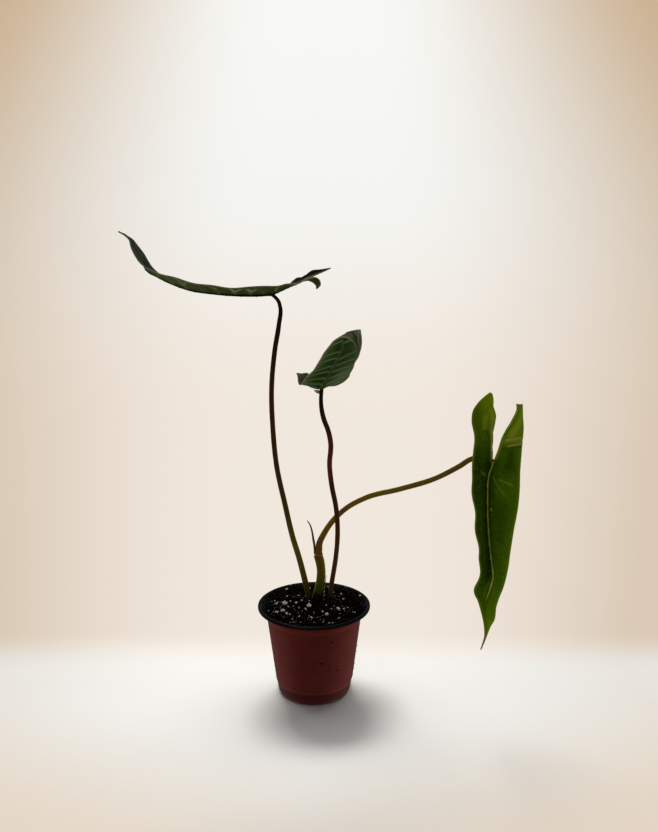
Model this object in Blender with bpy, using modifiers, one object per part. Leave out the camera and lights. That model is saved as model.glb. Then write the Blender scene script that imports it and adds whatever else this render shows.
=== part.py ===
"""A juvenile philodendron billietiae in its 10 cm nursery pot.

Every piece of the plant, its soil and its pot is a separate closed solid, at real size, in metres.
The origin is the centre of the pot's base, on the floor. X runs to the right, Y to the back, Z up.
Three leaves stand on long petioles: one hangs, one lies level and one is cupped towards the front.
"""
import math
from dataclasses import dataclass

import bmesh
import bpy
import numpy as np

MM = 0.001
NAME = "potted_philodendron"

# Driving dimensions, in millimetres
GAP = 0.3
POT_HEIGHT = 85.0
RIM_RADIUS = 52.5
SHOULDER_RADIUS = 44.9
WALL_TOP_RADIUS = 43.9
WALL_FOOT_RADIUS = 36.3
BAND_RADIUS = 35.4
BASE_RADIUS = 31.5
SHOULDER_TOP = 80.0
SHOULDER_FOOT = 74.0
BAND_TOP = 11.0
POT_WALL = 0.8
POT_STEPS = 48

DRAIN_COUNT = 3
DRAIN_BEARING = -50.0
DRAIN_WIDTH = 18.0
DRAIN_HEIGHT = 3.5
DRAIN_INNER_RADIUS = 27.0
DRAIN_SIDES = 32

SOIL_TOP = 79.0
SOIL_MOUND = 1.8
SOIL_CRUMB = 0.8
CRUMB_PITCH = 7.0
SOIL_TOP_RINGS = 10
PERLITE_COUNT = 26
PERLITE_RADII = (1.1, 2.6)
PERLITE_STRETCH = (0.8, 1.15)
PERLITE_SUNK = 0.15
PERLITE_SPACING = 1.0
PERLITE_KEEP_OFF = 8.5
PERLITE_OFF_WALL = 4.5
PERLITE_SEED = 14

BLADE_THICKNESS = 0.8
MIDRIB_THICKNESS = 2.6
BASAL_RIB_THICKNESS = 1.6
RIB_REACH = 0.72
RIB_SPREAD = 0.07
LOBE_ROWS = 12
COLUMNS = (0.0, 0.09, 0.3, 0.55, 0.8, 1.0)
FULL_RELIEF_WIDTH = 12.0
RUFFLE_RATE = 0.37

TUBE_RESOLUTION = 2
ROUTE_STEP = 9.0
CATAPHYLL_STEP = 5.0
HOLE_STANDS_OUT = 12.0
WELD_DISTANCE = 0.001

# Where each petiole meets its blade
LEVEL_JUNCTION = (-35.0, 3.0, 371.5)
CUPPED_JUNCTION = (7.5, -15.0, 289.0)
HANGING_JUNCTION = (153.0, -42.0, 229.0)

# Routes through the middle of each stalk, from its buried foot upwards
STEM_ROUTE = (
    (1, 21, 52), (1.5, 20.5, 70), (2.5, 20, 83), (6, 20, 97), (7, 20, 108.5), (5.5, 19.5, 119),
    (4.5, 19, 123), (4.3, 19, 126.5),
)
LEVEL_ROUTE = (
    (-4, 13, 55), (-4.5, 16, 80), (-7.5, 16, 94), (-14.5, 15, 124), (-20, 14, 143.5), (-27, 13, 176),
    (-34.5, 12, 214), (-37.5, 11, 250), (-38, 10, 287.5), (-34.5, 8, 321.5), (-30.5, 6, 344),
    (-29, 5, 358), (-31, 4, 365), (-34.5, 3, 368.2),
)
CUPPED_ROUTE = (
    (12, 12, 55), (14, 14, 82), (17, 12, 102.5), (20.5, 8, 127.5), (22, 4, 152.5), (20.5, 0, 177),
    (16.5, -3, 199), (14.5, -5, 218.5), (15.5, -7, 239), (13, -9, 251.5), (9.5, -10, 261),
    (7.5, -12, 270.5), (7, -14, 281), (7.4, -15.2, 286.2),
)
HANGING_ROUTE = (
    (4.3, 19, 127.3), (4.3, 19, 130.5), (5, 18.5, 137), (8.5, 18, 145), (17, 16, 159),
    (32, 12, 174.5), (49, 7, 185), (79, -4, 196), (109, -16, 209), (127.5, -26, 222), (137, -32, 230),
    (146, -36, 233), (151.8, -38.7, 231.1),
)
CATAPHYLL_ROUTE = (
    (0.6, 18.5, 126.4), (0.4, 18, 131), (0, 17.5, 136), (-0.8, 17, 141), (-2, 16.5, 149), (-4, 16, 156),
    (-6.5, 15.5, 160),
)

# Radii along each route, from foot to top
STEM_RADII = (4.3, 4.3, 4.3, 4.1, 3.8, 3.6, 3.6, 4.4, 4.6)
LEVEL_RADII = (2.2, 2.2, 2.1, 2.0, 2.0, 1.9, 1.9, 1.9, 1.9)
CUPPED_RADII = (1.9, 1.9, 1.9, 1.8, 1.8, 1.9)
HANGING_RADII = (2.3, 2.1, 2.0, 1.9, 1.9, 2.0, 2.3)
CATAPHYLL_RADII = (1.1, 1.1, 1.1, 0.9, 0.7, 0.4)


@dataclass
class Blade:
    """One leaf blade, drawn by hand-chosen sections in millimetres from its junction.

    A section is a line along a pair of side veins: midrib, left margin, right margin. Left and right are
    the leaf's own, seen from its base with its upper side up. A lobe's sections run from the junction to
    the lobe's tip: inner edge, outer margin.
    """

    sections: tuple
    left_lobe: tuple
    right_lobe: tuple
    cup: float
    ruffle: float
    quilt: float
    vein_pitch: float


HANGING_BLADE = Blade(
    sections=(
        ((0, 0, 0), (22, -8, -4), (-21.5, -20, -3)),
        ((-3.5, -1, -12), (22, -9, -18.5), (-21.5, -25, -14.5)),
        ((-4, -2, -29.5), (21, -10, -36.5), (-19.5, -26, -32)),
        ((-3, -2, -49.5), (18.5, -9, -56.5), (-17, -24, -51.5)),
        ((-1, -1, -68), (17, -7, -75.5), (-14, -22, -69.5)),
        ((2, 0, -88), (15.5, -5, -95.5), (-11, -16, -85.5)),
        ((4, 1, -104), (12.5, -4, -111), (-10.5, -8, -101.5)),
        ((2, 1, -113.5), (9.5, -4, -119.5), (-13, -5, -112.5)),
        ((-1.5, -1, -123), (7, -5, -128), (-10, -6, -121.5)),
        ((-2.5, -3, -133.5), (6, -6, -137.5), (-6, -5, -134)),
        ((-1.5, -3.5, -145.5), (2.5, -5, -146.5), (-3.5, -4, -145)),
        ((-1.5, -3, -155), (0, -4, -155), (-2.5, -3.5, -155)),
        ((-4.5, -1, -169.5), (-4, -1, -169.5), (-5, -1, -169.5)),
    ),
    left_lobe=(
        ((4, 1, 9.5), (22.5, -8, 10.5)),
        ((7, 2, 19.5), (23, -8, 20.5)),
        ((10, 2, 27), (23, -8, 29)),
        ((14, -1, 36), (23, -6, 39)),
        ((17.5, -4, 47), (22.5, -6, 46.5)),
        ((17, -5, 51), (22.5, -5, 51)),
    ),
    right_lobe=(
        ((-0.5, 0, 14), (-19.5, -18, 14)),
        ((-0.5, -2, 29), (-20.5, -19, 27)),
        ((0.5, -5, 40.5), (-22, -18, 39.5)),
        ((-2.5, -8, 50), (-20, -16, 49.5)),
        ((-3.5, -10, 57), (-13.5, -14, 57.5)),
        ((-4.5, -11, 60.5), (-7, -12, 62)),
    ),
    cup=0.05, ruffle=0.8, quilt=0.5, vein_pitch=12.0,
)

LEVEL_BLADE = Blade(
    sections=(
        ((0, 0, 0), (-3, -22, 6.5), (-6.5, 22, 5)),
        ((-13.5, -1, -1), (-18, -24, 5), (-23, 22, 4)),
        ((-32.5, -2, -1), (-37, -26, 5), (-44, 22, 4)),
        ((-53.5, -3, 0.5), (-58, -26, 7.5), (-66, 20, 7)),
        ((-71.5, -5, 3), (-76, -26, 11.5), (-84.5, 17, 10.5)),
        ((-87.5, -7, 8.5), (-89.5, -24, 15.5), (-99, 12, 15)),
        ((-98.5, -10, 14), (-99, -23, 18.5), (-104.5, 5, 19.5)),
        ((-107.5, -11.5, 19.5), (-106.5, -20, 21.5), (-107, 0, 23.5)),
        ((-111, -13, 26), (-112.5, -18, 26.5), (-108, -6, 26.5)),
        ((-114, -15, 33), (-116.5, -19, 33), (-111.5, -10, 34)),
        ((-117.5, -16, 39.5), (-119.5, -18, 39.5), (-115, -14, 40.5)),
        ((-119, -17, 44), (-120.5, -18, 44.5), (-117.5, -16, 45)),
        ((-122, -18, 47.5), (-122.5, -18.5, 47), (-121.5, -18, 48)),
        ((-128.5, -19, 51.5), (-128.5, -19.5, 51), (-128.5, -18.5, 52)),
    ),
    left_lobe=(
        ((6, -1, 2), (5.5, -21, 6.5)),
        ((14, -4, 5.5), (13, -22, 7.5)),
        ((20.5, -9, 12.5), (22.5, -21, 7.5)),
        ((28, -11, 15), (30, -20, 11)),
        ((34.5, -12, 18.5), (36, -18, 14)),
        ((41.5, -13, 19.5), (42.5, -16, 16.5)),
        ((48, -14, 20.5), (49, -14.5, 19.5)),
    ),
    right_lobe=(
        ((5.5, 3, 2), (3.5, 22, 5.5)),
        ((16, 4, 6), (15, 25, 8)),
        ((28.5, 7, 12), (24, 25, 10)),
        ((37, 11, 13.5), (29.5, 25, 10.5)),
        ((41, 14, 10.5), (34, 24, 8.5)),
        ((41.5, 17, 7), (37, 22, 6)),
        ((39, 19, 4.5), (38, 20, 4.5)),
    ),
    cup=0.05, ruffle=0.5, quilt=0.5, vein_pitch=12.0,
)

CUPPED_BLADE = Blade(
    sections=(
        ((0, 0, 0), (21.5, 2, 7.5), (-17.5, -2, 5)),
        ((3.5, -12, 8), (25, -11, 14), (-15.5, -15, 8.5)),
        ((6.5, -23, 15.5), (27, -23, 21), (-13, -28, 12.5)),
        ((8.5, -32, 20.5), (27.5, -33, 26), (-10, -40, 16.5)),
        ((11, -41, 25.5), (29.5, -43, 32), (-6.5, -52, 21.5)),
        ((12.5, -50, 30), (30, -52, 37.5), (-3, -62, 28)),
        ((14.5, -60, 36), (30.5, -62, 42), (-0.5, -72, 32.5)),
        ((16, -69, 40.5), (31, -71, 46), (2, -81, 38)),
        ((16.5, -78, 46), (31, -80, 50), (6.5, -88.5, 44.5)),
        ((18, -86, 50.5), (30.5, -88, 53), (10.5, -94, 48.5)),
        ((20.5, -93, 53.5), (29.5, -95, 55), (15.5, -98.5, 51.5)),
        ((23.5, -99, 53.5), (28, -100.5, 53.5), (19.5, -102.5, 51)),
        ((25.5, -103.5, 50.5), (27.5, -104, 50), (23, -105, 49)),
        ((27, -105.5, 46), (28, -106, 46), (26, -106, 45)),
        ((28, -106, 41), (28.5, -106, 41), (27.5, -106, 41)),
    ),
    left_lobe=(
        ((3, 7, 2), (20, 10, 5.5)),
        ((6.5, 13.5, 3.5), (18, 16.5, 5.5)),
        ((8.5, 18.5, 5), (15.5, 20.5, 6)),
        ((10.5, 22.5, 6.5), (13, 23, 7)),
    ),
    right_lobe=(
        ((-5, 8, 3), (-19.5, 6, 4.5)),
        ((-9, 16, 6.5), (-21, 14, 5.5)),
        ((-13.5, 22, 11), (-22, 19, 7.5)),
        ((-18.5, 24, 10), (-22.5, 22, 9)),
        ((-22.5, 24, 10.5), (-23, 23.5, 10)),
    ),
    cup=0.05, ruffle=0.4, quilt=0.5, vein_pitch=8.0,
)


def clear_scene():
    """Remove every object that is already in the scene."""
    for obj in list(bpy.data.objects):
        bpy.data.objects.remove(obj, do_unlink=True)


def new_collection(name):
    """Add a collection to the scene."""
    collection = bpy.data.collections.new(name)
    bpy.context.scene.collection.children.link(collection)
    return collection


def new_material(name, colour, roughness):
    """Make a plain non-metal material from a linear colour."""
    material = bpy.data.materials.new(name)
    material.use_nodes = True
    shader = material.node_tree.nodes["Principled BSDF"]
    shader.inputs["Base Color"].default_value = (*colour, 1.0)
    shader.inputs["Roughness"].default_value = roughness
    shader.inputs["Metallic"].default_value = 0.0
    return material


def spline(knots, points, where):
    """Return points on the smooth cubic through the given points, at the given knot values."""
    knots = np.asarray(knots, float)
    points = np.asarray(points, float)
    slopes = np.gradient(points, knots, axis=0)
    index = np.clip(np.searchsorted(knots, where, side="right") - 1, 0, len(knots) - 2)
    span = (knots[index + 1] - knots[index])[:, None]
    t = (np.asarray(where, float) - knots[index])[:, None] / span
    start = (2 * t**3 - 3 * t**2 + 1) * points[index] + (t**3 - 2 * t**2 + t) * span * slopes[index]
    end = (3 * t**2 - 2 * t**3) * points[index + 1] + (t**3 - t**2) * span * slopes[index + 1]
    return start + end


def chord_knots(points):
    """Return the distance along a chain of points at each of them."""
    steps = np.linalg.norm(np.diff(np.asarray(points, float), axis=0), axis=1)
    return np.concatenate([[0.0], np.cumsum(steps)])


def smooth_route(points, step):
    """Return evenly spaced points along the smooth curve through a route's own points."""
    knots = chord_knots(points)
    count = max(2, round(knots[-1] / step)) + 1
    return spline(knots, points, np.linspace(0.0, knots[-1], count))


def stalk_path(route, radii, step=ROUTE_STEP):
    """Return a stalk's middle points and its radius at each of them."""
    path = smooth_route(route, step)
    along = np.linspace(0.0, 1.0, len(path))
    return path, np.interp(along, np.linspace(0.0, 1.0, len(radii)), radii)


def add_tube(name, path, thickness, material, collection):
    """Add a round tube of changing thickness along a path, with closed ends."""
    curve = bpy.data.curves.new(name, "CURVE")
    curve.dimensions = "3D"
    curve.bevel_depth = MM
    curve.bevel_resolution = TUBE_RESOLUTION
    curve.use_fill_caps = True
    line = curve.splines.new("POLY")
    line.points.add(len(path) - 1)
    for point, place, radius in zip(line.points, path, thickness):
        point.co = (*(np.asarray(place) * MM), 1.0)
        point.radius = radius
    line.use_smooth = True
    curve.materials.append(material)
    tube = bpy.data.objects.new(name, curve)
    collection.objects.link(tube)
    return tube


def as_mesh(obj):
    """Replace an object by the closed mesh it evaluates to, and return the new object."""
    graph = bpy.context.evaluated_depsgraph_get()
    mesh = bpy.data.meshes.new_from_object(obj.evaluated_get(graph))
    weld(mesh)
    twin = bpy.data.objects.new(obj.name, mesh)
    twin.matrix_world = obj.matrix_world
    for collection in obj.users_collection:
        collection.objects.link(twin)
    name = obj.name
    bpy.data.objects.remove(obj, do_unlink=True)
    twin.name = name
    return twin


def weld(mesh):
    """Merge the doubled points of a mesh."""
    work = bmesh.new()
    work.from_mesh(mesh)
    bmesh.ops.remove_doubles(work, verts=work.verts, dist=WELD_DISTANCE * MM)
    work.to_mesh(mesh)
    work.free()


def add_turned(name, profile, steps, material, collection):
    """Turn a profile of (radius, height) points about Z with a Screw modifier."""
    mesh = bpy.data.meshes.new(name)
    edges = [(i, i + 1) for i in range(len(profile) - 1)]
    mesh.from_pydata([(radius * MM, 0.0, height * MM) for radius, height in profile], edges, [])
    mesh.materials.append(material)
    turned = bpy.data.objects.new(name, mesh)
    collection.objects.link(turned)
    screw = turned.modifiers.new("turn", "SCREW")
    screw.axis = "Z"
    screw.steps = steps
    screw.render_steps = steps
    screw.use_merge_vertices = True
    screw.merge_threshold = WELD_DISTANCE * MM
    return turned


def add_cut(target, cutter, operation="DIFFERENCE"):
    """Cut a target with a cutter, or join the two, by a Boolean that stays live."""
    cutter.hide_render = True
    cutter.display_type = "WIRE"
    cut = target.modifiers.new(cutter.name, "BOOLEAN")
    cut.operation = operation
    cut.solver = "EXACT"
    cut.object = cutter


def outer_wall():
    """Outer profile of the pot, from the rolled lip down to the flat base."""
    lip = [(49.6, POT_HEIGHT - 0.4), (51.4, POT_HEIGHT), (RIM_RADIUS, POT_HEIGHT - 0.9)]
    roll = [(RIM_RADIUS, POT_HEIGHT - 2.6), (51.6, POT_HEIGHT - 3.4), (50.2, POT_HEIGHT - 2.4)]
    flange = [(47.4, SHOULDER_TOP + 1.2), (45.4, SHOULDER_TOP - 0.3)]
    shoulder = [(SHOULDER_RADIUS, SHOULDER_TOP - 1.4), (SHOULDER_RADIUS - 0.2, SHOULDER_FOOT + 0.6)]
    wall = [(WALL_TOP_RADIUS, SHOULDER_FOOT - 0.4), (WALL_FOOT_RADIUS, BAND_TOP + 2.0)]
    band = [(BAND_RADIUS, BAND_TOP), (BAND_RADIUS - 1.0, 4.0)]
    corner = [(33.6, 1.6), (32.8, 0.5), (BASE_RADIUS, 0.0), (0.0, 0.0)]
    return lip + roll + flange + shoulder + wall + band + corner


def inner_wall():
    """Inner profile of the pot, from the middle of the floor up to the lip."""
    floor = [(0.0, POT_WALL), (BASE_RADIUS - 0.3, POT_WALL), (32.5, 2.0)]
    band = [(BAND_RADIUS - 1.8, 4.2), (BAND_RADIUS - 0.8, BAND_TOP + 0.2)]
    wall = [(WALL_FOOT_RADIUS - 0.8, BAND_TOP + 2.3), (WALL_TOP_RADIUS - 0.8, SHOULDER_FOOT - 0.1)]
    shoulder = [(SHOULDER_RADIUS - POT_WALL, height) for height in (SHOULDER_FOOT + 1.0, SHOULDER_TOP - 0.6)]
    flange = [(46.8, SHOULDER_TOP + 2.0)]
    return floor + band + wall + shoulder + flange


def build_pot(material, parts, cutters):
    """The nursery pot: one thin moulding with arched drainage notches round its base."""
    pot = add_turned("pot", inner_wall() + outer_wall(), POT_STEPS, material, parts)
    arch_radius = (DRAIN_WIDTH**2 / 4 + DRAIN_HEIGHT**2) / (2 * DRAIN_HEIGHT)
    length = RIM_RADIUS - DRAIN_INNER_RADIUS
    middle = DRAIN_INNER_RADIUS + length / 2
    for number in range(DRAIN_COUNT):
        bearing = math.radians(DRAIN_BEARING + 360.0 * number / DRAIN_COUNT)
        mesh = bpy.data.meshes.new("drain_cutter")
        work = bmesh.new()
        bmesh.ops.create_cone(
            work, cap_ends=True, segments=DRAIN_SIDES,
            radius1=arch_radius * MM, radius2=arch_radius * MM, depth=length * MM,
        )
        work.to_mesh(mesh)
        work.free()
        cutter = bpy.data.objects.new(f"drain_cutter_{number + 1}", mesh)
        place = (middle * math.cos(bearing), middle * math.sin(bearing), DRAIN_HEIGHT - arch_radius)
        cutter.location = [value * MM for value in place]
        cutter.rotation_euler = (0.0, math.pi / 2, bearing)
        cutters.objects.link(cutter)
        add_cut(pot, cutter)
    return pot


def soil_height(x, y):
    """Height of the soil's crumbly, slightly mounded surface over a point, in millimetres."""
    away = math.hypot(x, y) / (SHOULDER_RADIUS - POT_WALL - GAP)
    mound = SOIL_TOP + SOIL_MOUND * (1 - away * away)
    turn = 2 * math.pi / CRUMB_PITCH
    crumb = math.sin(turn * x + 1.3) * math.cos(turn * y - 0.6) + 0.6 * math.sin(turn * (0.6 * x - 1.2 * y))
    return mound + SOIL_CRUMB * crumb * (1 - away**6)


def build_soil(material, parts, cutters, stalks):
    """The soil: it fills the pot, has perlite grains fused in, and plain holes where the stalks stand."""
    edge = SHOULDER_RADIUS - POT_WALL - GAP
    top = [(edge * i / SOIL_TOP_RINGS, SOIL_TOP) for i in range(SOIL_TOP_RINGS + 1)]
    side = [(edge, SHOULDER_FOOT + 1.6)]
    side += [(radius - GAP, height) for radius, height in reversed(inner_wall()[3:-3])]
    foot = [(32.5 - GAP, 2.0 + GAP), (BASE_RADIUS - 0.3 - GAP, POT_WALL + GAP), (0.0, POT_WALL + GAP)]
    soil = as_mesh(add_turned("soil", top + side + foot, POT_STEPS, material, parts))
    for vertex in soil.data.vertices:
        if vertex.co.z > (SOIL_TOP - 0.01) * MM:
            vertex.co.z = soil_height(vertex.co.x / MM, vertex.co.y / MM) * MM
    add_cut(soil, build_perlite(cutters, edge), "UNION")
    for stalk in stalks:
        add_cut(soil, stalk)
    return soil


def build_perlite(cutters, edge):
    """Larger perlite grains, part sunk in the soil and clear of each other and of the stalks."""
    chance = np.random.default_rng(PERLITE_SEED)
    feet = np.array([STEM_ROUTE[2][:2], LEVEL_ROUTE[1][:2], CUPPED_ROUTE[1][:2]], float)
    placed = []
    while len(placed) < PERLITE_COUNT:
        bearing = chance.uniform(0, 2 * math.pi)
        away = (edge - PERLITE_OFF_WALL) * math.sqrt(chance.uniform(0, 1))
        radius = chance.uniform(*PERLITE_RADII)
        spot = np.array([away * math.cos(bearing), away * math.sin(bearing)])
        if min(np.linalg.norm(feet - spot, axis=1)) < PERLITE_KEEP_OFF:
            continue
        if any(np.linalg.norm(spot - other) < radius + size + PERLITE_SPACING for other, size in placed):
            continue
        placed.append((spot, radius))
    work = bmesh.new()
    for spot, radius in placed:
        height = soil_height(*spot) - PERLITE_SUNK * radius
        grain = bmesh.ops.create_icosphere(work, subdivisions=1, radius=radius * MM)
        shape = chance.uniform(*PERLITE_STRETCH, 3)
        for vertex in grain["verts"]:
            vertex.co.x = vertex.co.x * shape[0] + spot[0] * MM
            vertex.co.y = vertex.co.y * shape[1] + spot[1] * MM
            vertex.co.z = vertex.co.z * shape[2] + height * MM
    mesh = bpy.data.meshes.new("perlite")
    work.to_mesh(mesh)
    work.free()
    grains = bpy.data.objects.new("perlite", mesh)
    cutters.objects.link(grains)
    return grains


def side_grid(inner, outer, blade, along, side):
    """Points of one half of the blade, between its inner edge and its margin, as rows by columns.

    The half arches between the two edges, swells between its side veins and waves at its margin.
    """
    share = np.array(COLUMNS)[None, :, None]
    flat = inner[:, None, :] * (1 - share) + outer[:, None, :] * share
    down = np.gradient(flat, axis=0)
    across = np.gradient(flat, axis=1)
    normal = np.cross(across, down) * side
    normal /= np.maximum(np.linalg.norm(normal, axis=2, keepdims=True), 1e-9)
    width = np.linalg.norm(outer - inner, axis=1)[:, None, None]
    relief = np.minimum(width / FULL_RELIEF_WIDTH, 1)
    turn = (2 * math.pi * along / blade.vein_pitch)[:, None, None]
    bulge = 4 * share * (1 - share)
    arch = blade.cup * width * bulge
    swell = blade.quilt * relief * np.cos(turn) * bulge
    wave = blade.ruffle * relief * np.sin(RUFFLE_RATE * turn + side) * share**3
    return flat + normal * (arch + swell + wave)


def blade_grids(blade):
    """Rows of points for the main blade and for each lobe, from the left margin to the right."""
    middle = np.array([section[0] for section in blade.sections], float)
    knots = chord_knots(middle)
    rows = np.linspace(0.0, knots[-1], 2 * round(knots[-1] / blade.vein_pitch) + 1)
    midrib = spline(knots, middle, rows)
    halves = []
    lobes = []
    for side, lobe, column in ((-1, blade.left_lobe, 1), (1, blade.right_lobe, 2)):
        edge = np.array([section[column] for section in blade.sections], float)
        lobe_inner = np.array([(0, 0, 0)] + [section[0] for section in lobe], float)
        lobe_outer = np.array([edge[0]] + [section[1] for section in lobe], float)
        back = chord_knots((lobe_inner + lobe_outer) / 2)
        margin_knots = np.concatenate([-back[:0:-1], knots])
        margin = np.concatenate([lobe_outer[:0:-1], edge])
        halves.append(side_grid(midrib, spline(margin_knots, margin, rows), blade, rows, side))
        lobe_rows = np.linspace(-back[-1], 0.0, LOBE_ROWS)
        inner = spline(back, lobe_inner, -lobe_rows)
        outer = spline(margin_knots, margin, lobe_rows)
        lobes.append(side_grid(inner, outer, blade, lobe_rows, side))
    main = np.concatenate([halves[0][:, :0:-1], halves[1]], axis=1)
    return main, lobes[0][:-1, ::-1], lobes[1][:-1]


def build_blade(name, blade, junction, material, parts):
    """A leaf blade: a waved sheet with two posterior lobes, thickened along its ribs by Solidify."""
    main, left, right = blade_grids(blade)
    columns = len(COLUMNS)
    work = bmesh.new()
    weights = work.verts.layers.deform.verify()
    base = np.array(junction, float)
    share = np.array(COLUMNS)
    full = np.exp(-((share / RIB_SPREAD) ** 2))

    def add_rows(grid, rib):
        rows = []
        for number, line in enumerate(grid):
            strength = np.clip(rib(number / max(len(grid) - 1, 1)), 0, 1)
            row = []
            for place, weight in zip(line, strength):
                vertex = work.verts.new((place + base) * MM)
                vertex[weights][0] = float(weight)
                row.append(vertex)
            rows.append(row)
        return rows

    basal = BASAL_RIB_THICKNESS / MIDRIB_THICKNESS
    spread = np.concatenate([full[:0:-1], full])
    main_rows = add_rows(main, lambda t: spread * (1 - t / RIB_REACH))
    left_rows = add_rows(left, lambda t: full[::-1] * basal * t)
    right_rows = add_rows(right, lambda t: full * basal * t)
    left_rows.append(main_rows[0][:columns])
    right_rows.append(main_rows[0][columns - 1:])
    for rows in (main_rows, left_rows, right_rows):
        for near, far in zip(rows[:-1], rows[1:]):
            for i in range(len(near) - 1):
                work.faces.new((near[i], near[i + 1], far[i + 1], far[i]))
    bmesh.ops.triangulate(work, faces=work.faces[:], quad_method="SHORT_EDGE")
    mesh = bpy.data.meshes.new(name)
    work.to_mesh(mesh)
    work.free()
    mesh.materials.append(material)
    leaf = bpy.data.objects.new(name, mesh)
    leaf.vertex_groups.new(name="rib")
    parts.objects.link(leaf)
    sheet = leaf.modifiers.new("thickness", "SOLIDIFY")
    sheet.thickness = MIDRIB_THICKNESS * MM
    sheet.offset = -1.0
    sheet.vertex_group = "rib"
    sheet.thickness_vertex_group = BLADE_THICKNESS / MIDRIB_THICKNESS
    return leaf


def add_stalk_hole(name, path, thickness, cutters, material):
    """Add the cutter for a stalk's plain hole: its lowest stretch, wider all round by the gap."""
    low = int(np.argmax(path[:, 2] > SOIL_TOP + HOLE_STANDS_OUT)) + 1
    stretch = path[:low].copy()
    stretch[0, 2] -= GAP
    return as_mesh(add_tube(name, stretch, thickness[:low] + GAP, material, cutters))


def main():
    """Build the potted plant."""
    clear_scene()
    parts = new_collection(NAME)
    cutters = new_collection("cutters")
    red = new_material("thermoformed_pot_red", (0.17, 0.045, 0.035), 0.5)
    peat = new_material("peat_mix", (0.012, 0.009, 0.007), 0.95)
    green = new_material("leaf_green", (0.05, 0.12, 0.02), 0.35)
    yellow_green = new_material("leaf_yellow_green", (0.12, 0.24, 0.01), 0.35)
    shoot = new_material("shoot_green", (0.16, 0.2, 0.03), 0.4)
    olive = new_material("petiole_olive", (0.16, 0.11, 0.02), 0.4)
    dark = new_material("petiole_dark", (0.05, 0.02, 0.012), 0.4)
    dry = new_material("dry_sheath", (0.16, 0.11, 0.07), 0.8)

    build_pot(red, parts, cutters)
    stalks = (
        ("stem", STEM_ROUTE, STEM_RADII, shoot),
        ("petiole_level", LEVEL_ROUTE, LEVEL_RADII, dark),
        ("petiole_cupped", CUPPED_ROUTE, CUPPED_RADII, dark),
    )
    holes = []
    for name, route, radii, material in stalks:
        path, thickness = stalk_path(route, radii)
        add_tube(name, path, thickness, material, parts)
        holes.append(add_stalk_hole(f"{name}_hole", path, thickness, cutters, material))
    build_soil(peat, parts, cutters, holes)
    add_tube("petiole_hanging", *stalk_path(HANGING_ROUTE, HANGING_RADII), olive, parts)
    add_tube("cataphyll", *stalk_path(CATAPHYLL_ROUTE, CATAPHYLL_RADII, CATAPHYLL_STEP), dry, parts)
    build_blade("leaf_hanging", HANGING_BLADE, HANGING_JUNCTION, yellow_green, parts)
    build_blade("leaf_level", LEVEL_BLADE, LEVEL_JUNCTION, green, parts)
    build_blade("leaf_cupped", CUPPED_BLADE, CUPPED_JUNCTION, green, parts)


if __name__ == "__main__":
    main()
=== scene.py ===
"""The looks of a juvenile philodendron billietiae in its nursery pot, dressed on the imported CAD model.

The pot is a turned two-tone moulding, the soil a crumbly bed with perlite, bark and root fibres, and each
leaf a closed sheet whose side veins, midrib, waved margin and basal ribs are part of its mesh. Stalks
follow their routes through Geometry Nodes. All sizes are in millimetres unless a name says otherwise.
"""

import logging
import math
from collections.abc import Callable, Mapping, Sequence
from dataclasses import dataclass, replace
from enum import Enum
from typing import Any

import bmesh
import bpy
import numpy as np
from bpy.types import Material, Mesh, Node, NodeSocket, NodeTree, Object
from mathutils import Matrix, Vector, noise


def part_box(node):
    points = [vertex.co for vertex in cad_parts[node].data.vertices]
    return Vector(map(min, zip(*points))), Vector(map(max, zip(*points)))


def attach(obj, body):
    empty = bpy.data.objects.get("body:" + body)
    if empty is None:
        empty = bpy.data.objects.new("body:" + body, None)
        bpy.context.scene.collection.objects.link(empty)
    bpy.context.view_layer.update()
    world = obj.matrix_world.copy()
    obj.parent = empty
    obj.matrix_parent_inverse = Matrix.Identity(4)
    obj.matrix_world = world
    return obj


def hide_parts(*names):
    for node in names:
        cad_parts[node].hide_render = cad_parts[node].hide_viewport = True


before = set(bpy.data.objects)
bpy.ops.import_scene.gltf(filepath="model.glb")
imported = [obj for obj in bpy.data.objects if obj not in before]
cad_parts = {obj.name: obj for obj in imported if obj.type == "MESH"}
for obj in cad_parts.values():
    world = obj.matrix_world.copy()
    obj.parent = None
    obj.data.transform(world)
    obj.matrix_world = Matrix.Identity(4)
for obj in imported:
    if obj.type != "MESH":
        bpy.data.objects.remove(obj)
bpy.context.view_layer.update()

MM = 0.001
BODY = "root"
LOG = logging.getLogger("philodendron")

Point = tuple[float, float, float]
Rows = tuple[tuple[Point, ...], ...]
Linear = tuple[float, float, float, float]

# Types and settings of the nodes that come up again and again
MATH, VECTOR_MATH, RANGE, MIX = (
    "ShaderNodeMath", "ShaderNodeVectorMath", "ShaderNodeMapRange", "ShaderNodeMix",
)
NOISE, CELLS, BUMP, READ = (
    "ShaderNodeTexNoise", "ShaderNodeTexVoronoi", "ShaderNodeBump", "ShaderNodeAttribute",
)
STORE, NAMED, RANDOM = (
    "GeometryNodeStoreNamedAttribute", "GeometryNodeInputNamedAttribute", "FunctionNodeRandomValue",
)
COLOURS = {"data_type": "RGBA"}
SOFTLY = {"interpolation_type": "SMOOTHSTEP"}
MULTIPLY = {"operation": "MULTIPLY"}
SCALE = {"operation": "SCALE"}

# The radius at which a stalk's streaks are drawn, the least and most that a grain is stretched, how far it
# tilts in radians, how high it lies when it is placed, and how much more often a strewn one is small
SKIN_RADIUS = 2.0
GRAIN_SHARES = 0.75, 1.3
GRAIN_TILT = 0.7
GRAIN_LIFT = 0.4
SMALL_GRAIN_BIAS = 2.2


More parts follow.
